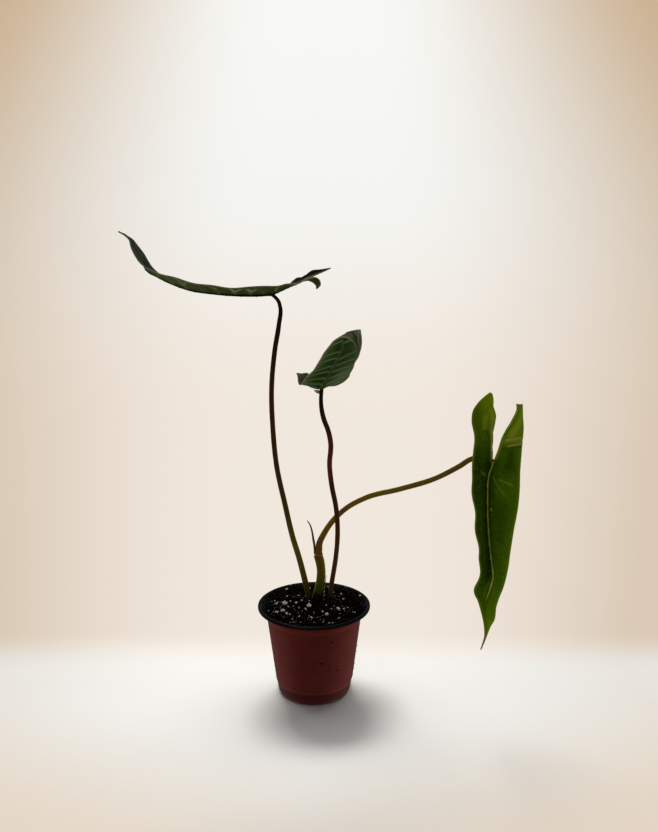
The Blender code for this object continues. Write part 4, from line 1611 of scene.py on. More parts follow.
@dataclass
class PlacedGrains(Grains):
    """Grains that each lie in a listed place: two measures of the place, and the grain's radius."""

    places: tuple[tuple[float, float, float], ...] = ()

    def build(self, find: Callable[[float, float], Point], tree: NodeTree) -> Object:
        """Lay the grains.

        Args:
            find: Gives the point for the two measures of a place.
            tree: The placing tree.

        Returns:
            The finished piece.
        """
        mesh = new_mesh(self.name, np.array([find(first, second) for first, second, _ in self.places]), [])
        store(mesh, {"size": np.array([radius for *_, radius in self.places]) * MM})
        return self.lay(add_piece(self.name, mesh), tree, {})


@dataclass
class RootFibres:
    """Fine pale root fibres that lie in curls on the soil, each through listed places."""

    name: str
    routes: tuple[tuple[Point, ...], ...]
    skin: Epidermis
    radius: float = 0.22
    step: float = 0.7
    ring_points: int = 6
    unevenness: float = 0.1
    unevenness_size_mm: float = 1.5
    seed: int = 4

    def build(self, tree: NodeTree, soil: SoilBed) -> Object:
        """Build the fibres.

        Args:
            tree: The stalk tree.
            soil: The bed, whose height the third measure of a place is added to.

        Returns:
            The finished piece.
        """
        paths = []
        for route in self.routes:
            points = np.array([(x, y, soil.height(x, y) + lift) for x, y, lift in route])
            knots = chord_knots(points)
            paths.append(spline(knots, points, np.linspace(0.0, knots[-1], round(knots[-1] / self.step) + 1)))
        radii = [np.linspace(1.0, 0.5, len(path)) * self.radius for path in paths]
        piece = run_tree(route_curve(self.name, paths, radii), tree, {
            "Ring points": self.ring_points, "Unevenness": self.unevenness * MM,
            "Unevenness size": 1 / (self.unevenness_size_mm * MM), "Seed": self.seed,
            "Material": self.skin.build(),
        })
        declare(piece, Slot.PEAT.value)
        return piece


# Peat: moist and nearly black in the bed, a little browner in its loose crumbs
PEAT = Speckled(
    "peat_black_moist", "#010101", "#080605", patch_mm=3.0, pit_mm=0.8, pit_depth_mm=0.5, specular=0.05,
)
PEAT_CRUMB = Speckled("peat_crumb", "#020101", "#17110d", patch_mm=1.5, pit_mm=0.5, specular=0.05)
# Perlite and bark: expanded glass, matt white with open pits, and composted bark, matt and dark brown
PERLITE = Speckled(
    "perlite_expanded_white", "#b5a898", "#fbf6ee", patch_mm=1.2, pit_mm=0.6, pit_depth_mm=0.3,
    spread=(0.25, 0.5),
)
BARK = Speckled("bark_composted_brown", "#120b07", "#382818", patch_mm=1.8, pit_mm=0.7)

# Stalks: a thin waxy skin, olive or green low down and red-brown to black where it has darkened
LEVEL_SKIN = Epidermis(
    "petiole_epidermis_dark", streak="#3a330a",
    stops=(
        (0.0, "#1a0e04"), (0.082, "#241405"), (0.105, "#4c3a06"), (0.15, "#665a06"), (0.25, "#6e6410"),
        (0.38, "#4e4006"), (0.5, "#4c3006"), (0.7, "#4c280c"), (0.93, "#201410"),
    ),
)
CUPPED_SKIN = Epidermis(
    "petiole_epidermis_red_brown", streak="#2e1e0e",
    stops=(
        (0.0, "#140b05"), (0.12, "#1c1008"), (0.16, "#5c4222"), (0.3, "#5a3c18"), (0.45, "#4c2a09"),
        (0.6, "#4a240c"), (0.72, "#6a3420"), (0.82, "#4c2418"), (0.95, "#1a100c"),
    ),
)
HANGING_SKIN = Epidermis(
    "petiole_epidermis_olive", streak="#5c4a08",
    stops=((0.0, "#7e4e04"), (0.12, "#886404"), (0.5, "#7c6806"), (0.8, "#6c5604"), (1.0, "#726006")),
)
# The shoot's near-black foot, up to just above the soil, is painted shade inside its sheath, with soil dirt.
STEM_SKIN = Epidermis(
    "shoot_epidermis_green", streak="#6a5e0c",
    stops=(
        (0.0, "#0c0a02"), (0.445, "#121004"), (0.48, "#443c06"), (0.54, "#565f05"), (0.7, "#6c6403"),
        (0.86, "#766404"), (0.974, "#6c5208"), (0.984, "#94743c"), (1.0, "#8c6c34"),
    ),
)
# Dry sheaths, scraps and root fibres: dead papery tissue, matt, from straw to brown
SHEATH_SKIN = Epidermis(
    "cataphyll_dry_papery", streak="#8f7a5a", roughness=0.8,
    stops=((0.0, "#6e5c2c"), (0.5, "#5a4a28"), (1.0, "#3a2d22")),
)
SHOOT_SHEATH_SKIN = Epidermis(
    "shoot_sheath_papery", streak="#7d7650", roughness=0.6,
    stops=((0.0, "#39301c"), (0.2, "#6d6848"), (0.7, "#8b8a62"), (1.0, "#6f7040")),
)
SCRAP_SKIN = Epidermis(
    "sheath_scrap_papery", streak="#8f8468", roughness=0.7, stops=((0.0, "#7c7054"), (1.0, "#b5ab8e")),
)
FIBRE_SKIN = Epidermis(
    "root_fibre_dry", streak="#4a3826", roughness=0.7, streak_mm=0.6,
    stops=((0.0, "#6d5a44"), (0.5, "#8f7c64"), (1.0, "#5a4836")),
)

# Leaf blades: waxy tissue, yellow-green in the youngest blade and dark in the other two
HANGING_LEAF_SKIN = LeafSkin(
    "leaf_waxy_yellow_green", upper="#608902", upper_dark="#1f3d00", upper_lobe="#809e03",
    under="#6f8a2c", under_dark="#5f7a22", under_lobe="#93a33c", vein_upper="#7f9e12",
    vein_under="#8ea049", rib_upper="#c0d052", rib_under="#9aa84e", rib_core="#7f8f36", margin="#9aa82c",
    margin_strength=0.45, specular=0.03, rib_mm=1.6, mottle=0.2, mottle_mm=3.5, scar_and_painted_light="#c4c64e",
    fold_shade="#0e1802", brim="#8fae08", brim_strength=0.35, upper_roughness=0.48,
)
CUPPED_LEAF_SKIN = LeafSkin(
    "leaf_waxy_dark_green", upper="#4c5648", upper_dark="#363f33", upper_lobe="#6a745e", under="#446020",
    under_dark="#233e02", under_lobe="#5a6c28", vein_upper="#646c5a", vein_under="#7a8e64",
    rib_upper="#4f5a42", rib_under="#6a7e50", rib_core="#3c4c1e", margin="#a09878", margin_strength=0.85,
    margin_mm=0.8, scar_and_painted_light="#8f9b78", brim="#5f7344", brim_mm=6.0, brim_strength=0.35, tip="#5c5c48",
    vein_mm=1.5, rib_mm=1.5, core_mm=1.0, upper_roughness=0.36, vein_strength_under=0.75, specular=0.16,
)
LEVEL_LEAF_SKIN = replace(
    CUPPED_LEAF_SKIN, name="leaf_waxy_grey_green", under="#646c42", under_dark="#46591f",
    under_lobe="#3d511c", vein_strength_under=0.25, rib_core="#20190d", rib_under="#2b2413", core_mm=0.9,
    rib_mm=1.4, fold_shade="#10120a", scar_and_painted_light="#98a07c", specular=0.04, upper_roughness=0.8, upper="#58625a",
    upper_dark="#404941", upper_lobe="#10160a", margin="#a8a47e", tip="#5c4c36", brim="#84805c",
    brim_mm=3.0, brim_strength=0.15,
)


STALKS = (
    Stalk(
        name="stem_shoot", node="stem", slot=Slot.SHOOT, skin=STEM_SKIN,
        route=(
            (1, 21, 52), (1.5, 20.5, 70), (2.4, 20, 83), (5.6, 20, 97), (6.5, 20, 108.5), (5.2, 19.5, 119),
            (4.3, 19, 123), (4.2, 19, 126.6),
        ),
        radii=(4.3, 4.3, 4.3, 4.3, 4.4, 4.5, 4.3, 4.2, 4.2, 4.2, 4.4, 3.9),
        ring_points=28, unevenness=0.5, swellings=(Swelling((0, 18, 123), 0.7, 1.6),),
    ),
    Stalk(
        name="stalk_level", node="petiole_level", slot=Slot.DARK, skin=LEVEL_SKIN,
        route=(
            (-4, 13, 55), (-4.5, 16, 80), (-7.5, 16, 94), (-14.5, 15, 124), (-20, 14, 143.5), (-27, 13, 176),
            (-34.5, 12, 214), (-37.5, 11, 250), (-38, 10, 287.5), (-34.5, 8, 321.5), (-30.5, 6, 344),
            (-29, 5, 358), (-31, 4, 365), (-34.2, 3, 368.6), (-36.5, 2.9, 370.3),
        ),
        radii=(2.9, 2.85, 2.7, 2.55, 2.4, 2.35, 2.3, 2.25, 2.2, 1.5),
        swellings=(Swelling((-39, 10, 279), 0.5, 0.9), Swelling((-39, 10, 264), 0.5, 0.9)),
    ),
    Stalk(
        name="stalk_cupped", node="petiole_cupped", slot=Slot.DARK, skin=CUPPED_SKIN,
        route=(
            (12, 12, 55), (14, 14, 82), (17, 12, 102.5), (20.5, 8, 127.5), (22, 4, 152.5), (20.5, 0, 177),
            (16.5, -3, 199), (14.5, -5, 218.5), (15.5, -7, 239), (13, -9, 251.5), (9.5, -10, 261),
            (7.5, -12, 270.5), (7, -14, 281), (7.4, -15.3, 286.2), (7.7, -16, 290),
        ),
        radii=(2.3, 2.3, 2.3, 2.25, 2.25, 2.3, 2.3, 2.3, 2.2, 1.6),
    ),
    Stalk(
        name="stalk_hanging", node="petiole_hanging", slot=Slot.OLIVE, skin=HANGING_SKIN,
        route=(
            (4.2, 19, 122), (4.3, 19, 130.5), (5, 18.5, 137), (8.5, 18, 145), (17, 16, 159),
            (32, 12, 174.5), (49, 7, 185), (79, -4, 196), (109, -16, 209), (127.5, -26, 222), (137, -32, 230),
            (146, -36, 233), (151.8, -38.7, 231.1), (152.8, -40.6, 229.2),
        ),
        radii=(3.7, 2.9, 2.6, 2.45, 2.4, 2.4, 2.35, 2.35, 2.3, 2.3, 2.3, 2.4),
    ),
    Stalk(
        name="dry_sheath", node="cataphyll", slot=Slot.DRY, skin=SHEATH_SKIN,
        route=(
            (0.6, 18.5, 126.4), (0.4, 18, 131), (0, 17.5, 136), (-0.8, 17, 141), (-2, 16.5, 149),
            (-4, 16, 156), (-6.5, 15.5, 160),
        ),
        radii=(1.1, 1.1, 1.1, 0.9, 0.7, 0.4),
        ring_points=12, step=0.8, unevenness=0.1,
    ),
    Stalk(
        name="sheath_scrap", node="", slot=Slot.DRY, skin=SCRAP_SKIN,
        route=((7.4, -14.6, 285), (5, -14.4, 286), (3, -14.2, 286.6), (1, -14, 287.4)),
        radii=(1.0, 1.7, 1.3, 0.4), ring_points=10, step=0.5, unevenness=0.8, unevenness_size_mm=2.0,
    ),
)

HANGING_BLADE = Blade(
    name="blade_hanging", node="leaf_hanging", slot=Slot.YELLOW_GREEN, junction=(153.0, -42.0, 229.0),
    skin=HANGING_LEAF_SKIN,
    sections=(
        ((0, 0, 0), (22, -8, -4), (-21.5, -20, -3)),
        ((-3.5, -1, -12), (22, -9, -18.5), (-21.5, -25, -14.5)),
        ((-4, -2, -29.5), (21, -10, -36.5), (-19.5, -26, -32)),
        ((-3, -2, -49.5), (18.5, -9, -56.5), (-17, -24, -51.5)),
        ((-1, -1, -68), (17, -7, -75.5), (-14, -22, -69.5)),
        ((2, 0, -88), (15.5, -5, -95.5), (-11, -16, -85.5)),
        ((4, 1, -104), (12.5, -4, -111), (-10.5, -8, -101.5)),
        ((2, 1, -113.5), (9.5, -4, -119.5), (-13, -5, -112.5)),
        ((-1.5, -1, -123), (7, -5, -128), (-10, -6, -121.5)),
        ((-2.5, -3, -133.5), (6, -6, -137.5), (-6, -5, -134)),
        ((-1.5, -3.5, -145.5), (2.5, -5, -146.5), (-3.5, -4, -145)),
        ((-1.5, -3, -155), (0, -4, -155), (-2.5, -3.5, -155)),
        ((-4.5, -1, -169.5), (-4, -1, -169.5), (-5, -1, -169.5)),
    ),
    left_lobe=(
        ((4, 1, 9.5), (22.5, -8, 10.5)),
        ((7, 2, 19.5), (23, -8, 20.5)),
        ((10, 2, 27), (23, -8, 29)),
        ((14, -1, 36), (23, -6, 39)),
        ((17.5, -4, 47), (22.5, -6, 46.5)),
        ((17, -5, 51), (22.5, -5, 51)),
    ),
    right_lobe=(
        ((-0.5, 0, 14), (-19.5, -18, 14)),
        ((-0.5, -2, 29), (-20.5, -19, 27)),
        ((0.5, -5, 40.5), (-22, -18, 39.5)),
        ((-2.5, -8, 50), (-20, -16, 49.5)),
        ((-3.5, -10, 57), (-13.5, -14, 57.5)),
        ((-4.5, -11, 60.5), (-7, -12, 62)),
    ),
    ruffle=0.8, quilt=0.6, columns=45, tip_lobe=0.4, vein_pitch=12.0, vein_sweep=(10.0, -6.0),
    veins=((6, 20, 31, 45, 58, 69, 84, 97, 110), (9, 19, 34, 47, 61, 73, 86, 99, 112)),
    basal_rib=((0.0, 0.0), (0.04, 0.14), (0.31, 0.42), (0.53, 0.57), (0.62, 0.79), (1.0, 1.0)),
    # upper_shade paints the leaf's right half darker, as it turns from the light.
    basal_show=(0.0, 0.15), basal_end=0.6, rib_end=134.0, upper_shade=(0.25, 0.85),
    # Thin pale marks are scars, scratches and pale creases; the wide pale marks on the lobes are painted
    # highlights, and the marks below zero are painted shade in folds, beside the midrib and over broad
    # patches.
    marks=(
        Mark((39, -0.14), (40, -0.16), 0.8, 1.0),
        Mark((11, -0.13), (24.6, -0.57), 0.5, 0.35), Mark((12, -0.36), (13.4, -0.78), 0.5, 0.45),
        Mark((-2.4, 0.89), (9.5, 0.26), 0.55, 0.45), Mark((61, -0.28), (55, -0.8), 1.6, 0.07, relief=0.3),
        Mark((68, -0.3), (68.5, -0.31), 0.4, 0.5), Mark((71, -0.45), (71.4, -0.46), 0.4, 0.4),
        Mark((78, -0.68), (78.5, -0.68), 0.4, 0.5), Mark((76, -0.36), (76.5, -0.37), 0.4, 0.45),
        Mark((80, -0.5), (80.4, -0.5), 0.4, 0.4), Mark((90, -0.02), (116, -0.42), 0.7, 0.25),
        Mark((97, 0.55), (90, 0.8), 1.6, -0.35), Mark((100, 0.25), (122, 0.3), 3.0, 0.14),
        Mark((-17.4, -0.4), (-19.9, -1.0), 0.9, 0.9, relief=-0.6),
        Mark((-20.5, -0.2), (-22.6, -1.0), 1.8, 0.22, relief=0.6),
        Mark((-22.2, -0.25), (-25.4, -1.0), 0.8, 0.8, relief=-0.5),
        Mark((-14.8, -0.2), (-17.2, -1.0), 1.8, -0.5, relief=0.4),
        Mark((-27, -0.5), (-42, -0.85), 5.5, 0.38), Mark((-12, -0.6), (-1, -0.6), 7.0, -0.55),
        Mark((-27, -0.12), (-49, -0.45), 1.0, -0.6, relief=-0.7), Mark((-29, -0.06), (-46, -0.24), 0.9, 0.6),
        Mark((-6, 0.03), (-30, 0.1), 3.0, 0.95, relief=0.5), Mark((-30, 0.14), (-46, 0.18), 3.2, 0.45),
        Mark((-31, 0.65), (-42, 0.5), 4.0, 0.2), Mark((0, 0.75), (-48, 0.85), 6.5, -0.4),
        Mark((-8, 0.14), (-24, 0.24), 0.9, -0.5, relief=-0.8),
        Mark((-24, 0.24), (-31, 0.4), 0.9, -0.5, relief=-0.8),
        Mark((-31, 0.4), (-32, 0.75), 1.1, -0.3, relief=-0.5), Mark((10, 0.8), (90, 0.8), 8.0, -0.2),
        Mark((60, 0.4), (98, 0.5), 8.0, -0.42), Mark((35, -0.5), (62, -0.5), 8.0, -0.42),
        Mark((72, -0.5), (100, -0.5), 8.0, -0.25), Mark((-30, 0.6), (-12, 0.6), 6.0, -0.2),
        Mark((4, 0.12), (80, 0.12), 1.4, -0.35), Mark((6, -0.1), (60, -0.1), 1.2, -0.3),
    ),
)

LEVEL_BLADE = Blade(
    name="blade_level", node="leaf_level", slot=Slot.GREEN, junction=(-35.0, 3.0, 371.5),
    skin=LEVEL_LEAF_SKIN,
    sections=(
        ((0, 0, 0), (-3, -22, 6.5), (-6.5, 22, 5)),
        ((-13.5, -1, -1), (-18, -24, 5), (-23, 22, 4)),
        ((-32.5, -2, -1), (-37, -26, 5), (-44, 22, 4)),
        ((-53.5, -3, 0.5), (-58, -26, 7.5), (-66, 20, 7)),
        ((-71.5, -5, 3), (-76, -26, 11.5), (-84.5, 17, 10.5)),
        ((-87.5, -7, 8.5), (-89.5, -24, 15.5), (-99, 12, 15)),
        ((-98.5, -10, 14), (-99, -23, 18.5), (-104, 5, 19.5)),
        ((-107.5, -11.5, 19.5), (-106.5, -20, 21.5), (-105.8, 0, 24)),
        ((-110.5, -13, 26), (-112.5, -18, 26.5), (-106.3, -6, 26.5)),
        ((-113.5, -15, 33), (-116.5, -19, 33), (-109.8, -10, 34)),
        ((-117, -16, 39.5), (-119.5, -18, 39.5), (-113.8, -14, 40.5)),
        ((-119, -17, 44), (-120.5, -18, 44.5), (-116.8, -16, 45)),
        ((-122, -18, 47.5), (-122.5, -18.5, 47), (-121.5, -18, 48)),
        ((-128.0, -19, 51.5), (-128.0, -19.4, 51.2), (-128.0, -18.6, 51.8)),
    ),
    left_lobe=(
        ((6, -1, 2), (5.5, -21, 6.5)),
        ((14, -4, 5.5), (13, -22, 7.5)),
        ((20.5, -9, 12.5), (22.5, -21, 7.5)),
        ((27, -11, 14), (29, -20, 11.6)),
        ((34.5, -12, 19.2), (36, -18, 14.2)),
        ((41.5, -13, 20), (43, -16, 17)),
        ((50.2, -14, 21.4), (50.7, -14.5, 20.6)),
    ),
    right_lobe=(
        ((5.5, 3, 2), (3.5, 22, 5.5)),
        ((16, 4, 6), (15, 25, 8)),
        ((28.5, 7, 12), (24, 25, 10)),
        ((37, 11, 14), (30.5, 25, 11.5)),
        ((41, 14, 11), (35, 24, 9.5)),
        ((41.5, 17, 6.5), (37.5, 22, 6)),
        ((38.5, 19, 3.6), (37, 20, 3.8)),
    ),
    ruffle=0.5, vein_pitch=13.0, vein_sweep=(3.0, 3.0), upper_shade=(0.4, 0.4), under_shade=(0.15, 0.6),
    veins=((8, 19, 33, 47, 60, 75, 88, 100), (3, 15, 28, 41, 55, 68, 82, 95)),
    # The short pale mark near the junction under the blade is a painted highlight, and the broad marks below
    # zero paint shade on the near lobe and under the blade; the other pale marks are pale veins and the near
    # lobe's cream margin.
    marks=(
        Mark((33, -1.0), (32, -0.25), 1.4, 1.0, Face.UNDER),
        Mark((32, -0.25), (24, -0.6), 1.4, 0.9, Face.UNDER),
        Mark((18.4, -0.62), (17.7, -0.24), 1.4, 1.0, Face.UNDER),
        Mark((17.7, -0.24), (11.7, -0.51), 1.4, 0.9, Face.UNDER),
        Mark((55, -1.0), (46, -0.43), 1.3, 0.8, Face.UNDER),
        Mark((80, -1.0), (76, -0.3), 1.2, 0.6, Face.UNDER),
        Mark((76, -0.3), (70, -0.7), 1.0, 0.5, Face.UNDER), Mark((-6, -0.97), (-47, -0.92), 1.7, 0.97),
        Mark((-3, -0.2), (-9, -0.7), 1.2, 0.6, Face.UNDER), Mark((-14, -0.35), (-48, -0.45), 5.0, -0.85),
        Mark((2, 0.0), (44, 0.0), 1.3, -0.9, Face.UNDER),
        Mark((-4, -0.5), (54, -0.5), 14.0, -0.32, Face.UNDER),
        Mark((-22, -0.4), (-31, -0.45), 3.0, -0.9, relief=0.8),
        Mark((-34, -0.42), (-46, -0.4), 2.8, -0.9, relief=0.8), Mark((108, -0.1), (136, 0.3), 1.4, 0.25),
    ),
)

CUPPED_BLADE = Blade(
    name="blade_cupped", node="leaf_cupped", slot=Slot.GREEN, junction=(7.5, -15.0, 290.0),
    skin=CUPPED_LEAF_SKIN,
    sections=(
        ((0, 0, 0), (23.2, 1, 9), (-17.5, -2, 3.5)),
        ((3.5, -12, 7.5), (24.8, -11, 14), (-15.5, -15, 8)),
        ((6.5, -23, 15), (27, -23, 20), (-13, -28, 12)),
        ((8.5, -32, 19.5), (28, -33, 25), (-10, -40, 16)),
        ((11, -41, 24.5), (30.5, -43, 30.5), (-6.5, -52, 20.5)),
        ((12.5, -50, 28.5), (31.5, -52, 36), (-3, -62, 26.5)),
        ((14.5, -60, 34.5), (32, -62, 40), (-0.5, -72, 31)),
        ((16, -69, 38.5), (32, -71, 44), (2, -81, 36.5)),
        ((16.5, -78, 44.5), (31.4, -80, 48.5), (6.5, -88.5, 42.5)),
        ((18, -86, 49.8), (30.5, -88, 53), (10.5, -94, 47)),
        ((20.5, -93, 52.6), (29.8, -95, 54.8), (15.5, -98.5, 49.5)),
        ((23.5, -99, 52.4), (28.6, -100.5, 52.8), (19.5, -102.5, 49)),
        ((25.5, -103.5, 49.5), (28, -104, 49), (23, -105, 47)),
        ((27, -105.5, 44.5), (28.2, -106, 44.5), (26, -106, 43)),
        ((28, -106, 39), (28.5, -106, 39), (27.5, -106, 39)),
    ),
    left_lobe=(
        ((2, 5, 0), (19.5, 6.5, 4.8)),
        ((3, 9, 0), (13, 12.5, 0.8)),
        ((4.5, 12.5, 0), (10, 15, 0)),
        ((6, 14.5, 0), (7.5, 15.3, -0.2)),
    ),
    right_lobe=(
        ((-5, 8, -1), (-19.5, 6, 2.5)),
        ((-9, 16, 0), (-21, 14, 3)),
        ((-13.5, 22, 11), (-22, 19, 7.5)),
        ((-18.5, 24, 10), (-22.5, 22, 9)),
        ((-22.5, 24, 10.5), (-23, 23.5, 10)),
    ),
    ruffle=0.15, quilt=1.2, vein_pitch=12.0, margin_bead=0.45, vein_sweep=(4.0, -6.0),
    under_shade=(0.05, 1.0),
    veins=((4, 17, 30, 44, 59, 90, 104, 117), (8, 20, 34, 47, 64, 77, 95, 108, 119)),
    marks=(
        Mark((-4, 0.9), (12, 0.95), 3.0, 0.25, Face.UNDER),
        Mark((-2, -0.7), (24, -0.9), 8.0, 0.3, Face.UNDER),
    ),
)

BLADES = (HANGING_BLADE, LEVEL_BLADE, CUPPED_BLADE)

STREWN = (
    StrewnGrains("peat_crumbs", PEAT_CRUMB, per_square_cm=30, largest=2.6),
    StrewnGrains(
        "bark_bits", BARK, length=2.6, flatness=0.4, per_square_cm=4.0, smallest=1.0, largest=2.4, seed=5,
    ),
    StrewnGrains(
        "perlite_grit", PERLITE, lump=1.6, lump_size=0.8, per_square_cm=7.0, smallest=0.4, largest=1.5,
        mask="grit", seed=11,
    ),
)
SPILL = StrewnGrains("peat_spill", PEAT_CRUMB, per_square_cm=42, smallest=0.8, largest=2.4, seed=8)
PERLITE_GRAINS = PlacedGrains(
    "perlite_grains", PERLITE, flatness=0.8, lump=2.0, lump_size=1.5, detail=4,
    places=(
        (-28, 7, 2.2), (-36, 9, 1.1), (-41, 15, 0.8), (-34, -9, 1.5), (-29, -8, 1.5), (-25, -13, 1.1),
        (-12, 15, 1.1), (-17, 9, 1.1), (-5, 1, 1.9), (-14, -2, 0.8), (-11, -10, 0.8), (-8, -6, 0.8),
        (-16, 29, 0.8), (-23, 15, 0.8), (-24, -2, 0.8), (-20, 2, 0.8), (-2, -22, 1.1), (0, -18, 0.8),
        (12, -16, 1.5), (8, -10, 0.8), (16, -5, 0.8), (23, -3, 1.5), (28, -3, 1.1), (32, 1, 1.1),
        (28, 20, 1.1), (26, 34, 1.1), (9, 37, 0.8), (-9, 28, 0.8), (23, -22, 0.8), (14, -31, 1.1),
        (9, -32, 0.8), (-13, -21, 0.8), (-22, -15, 0.8), (38, -10, 0.8), (-27, 28, 0.8), (19, 37, 0.8),
        (-28, 38, 1.1), (-24, 44, 0.8), (30, 40, 0.8), (13, 45, 0.8), (-5, 45, 0.8), (44, 20, 0.8),
    ),
)
POT_SPECKS = PlacedGrains(
    "pot_specks", PEAT_CRUMB, slot=Slot.POT, flatness=0.7, lump=1.0, lump_size=0.7, detail=2,
    places=(
        (-68, 65, 1.0), (-80, 45, 0.9), (-69, 42, 0.7), (-57, 35, 0.7), (-69, 37, 0.6), (-112, 40, 0.6),
        (-117, 17, 0.6), (-46, 74, 0.6), (-75, 68, 0.5), (-117, 66, 0.5), (-74, 71, 0.4), (-60, 44, 0.4),
        (-6, 44, 0.6), (-4, 38, 0.7), (-8, 27, 0.6), (-5, 21, 0.7), (-10, 16, 0.6), (20, 50, 0.6),
        (75, 30, 0.6), (130, 58, 0.6), (-165, 44, 0.5),
    ),
)
POT_STAIN = PlacedGrains(
    "pot_stain", Speckled("dried_soil_orange", "#7a3a1c", "#a4603a", patch_mm=0.6, pit_mm=0.3), slot=Slot.POT,
    flatness=0.7, lump=0.8, lump_size=0.8, detail=2, places=((-96, 77, 0.7), (-90, 20, 0.3)),
)
FIBRES = RootFibres(
    "root_fibres", skin=FIBRE_SKIN,
    routes=(
        ((17, 25, 0.5), (19, 21, 1.4), (22, 18, 1.0), (25, 11, 1.6), (26, 4, 0.4)),
        ((16, 21, 0.4), (17, 15, 1.2), (20, 10, 0.8), (19, 5, 0.3)),
        ((-33, -2, 0.4), (-30, 2, 1.2), (-24, 3, 0.4)), ((-6, -26, 0.4), (-2, -22, 1.3), (3, -24, 0.3)),
        ((30, -12, 0.4), (33, -6, 1.0), (36, 2, 0.4)), ((-20, 22, 0.4), (-14, 24, 1.2), (-10, 20, 0.4)),
        ((10, -36, 0.3), (16, -34, 0.9), (22, -30, 0.3)),
    ),
)


class Lit(Enum):
    """What a lamp lights: the plant and pot, the plant alone, or the backdrop alone, which stays pale."""

    PLANT = "plant and pot"
    LEAVES = "plant alone"
    BACKDROP = "backdrop"


@dataclass(frozen=True)
class Lamp:
    """A soft light, square unless it is stretched sideways."""

    name: str
    place: Point
    target: Point
    size: float
    power: float
    lit: Lit = Lit.PLANT
    colour: str = "#fff6ec"
    glossy: bool = True
    stretch: float = 1.0

    def build(self, backdrop: Object, pot: Object) -> None:
        """Hang the lamp.

        Args:
            backdrop: The backdrop, which is lit or left out.
            pot: The pot, which may be left out too.
        """
        lamp = bpy.data.lights.new(self.name, "AREA")
        lamp.shape = "RECTANGLE"
        lamp.size = self.size * self.stretch * MM
        lamp.size_y = self.size * MM
        lamp.energy = self.power
        lamp.color = linear(self.colour)[:3]
        holder = bpy.data.objects.new(self.name, lamp)
        holder.location = Vector(self.place) * MM
        holder.rotation_euler = (Vector(self.target) - Vector(self.place)).to_track_quat("-Z", "Y").to_euler()
        holder.visible_glossy = self.glossy
        holder.visible_camera = False
        bpy.context.scene.collection.objects.link(holder)
        receivers = bpy.data.collections.new(f"{self.name}_receivers")
        for piece in (backdrop, pot) if self.lit is Lit.LEAVES else (backdrop,):
            receivers.objects.link(piece)
        for member in receivers.collection_objects:
            member.light_linking.link_state = "INCLUDE" if self.lit is Lit.BACKDROP else "EXCLUDE"
        holder.light_linking.receiver_collection = receivers


LAMPS = (
    Lamp("floor_key", (-220, 850, 1550), (0, -60, 0), 430, 17.5, Lit.BACKDROP, "#fffdfa", stretch=2.0),
    Lamp("floor_wash", (-30, 620, 1000), (0, -90, 0), 400, 8.6, Lit.BACKDROP, "#fffdfa", stretch=6.0),
    Lamp("floor_side", (-500, -100, 1200), (0, 0, 0), 350, 0.5, Lit.BACKDROP, "#fffdfa"),
    Lamp("top_softbox", (-150, 200, 1300), (0, 0, 150), 900, 3.2),
    Lamp("front_fill", (-700, -1200, 700), (0, 0, 200), 800, 1.3),
    Lamp("floor_bounce", (-60, -150, 3), (-60, -150, 500), 900, 0.95, Lit.LEAVES, glossy=False),
    Lamp("left_strip", (-1000, 250, 250), (0, 0, 80), 500, 2.4, glossy=False),
    Lamp("right_strip", (1000, 200, 250), (0, 0, 80), 500, 3.4, glossy=False),
)


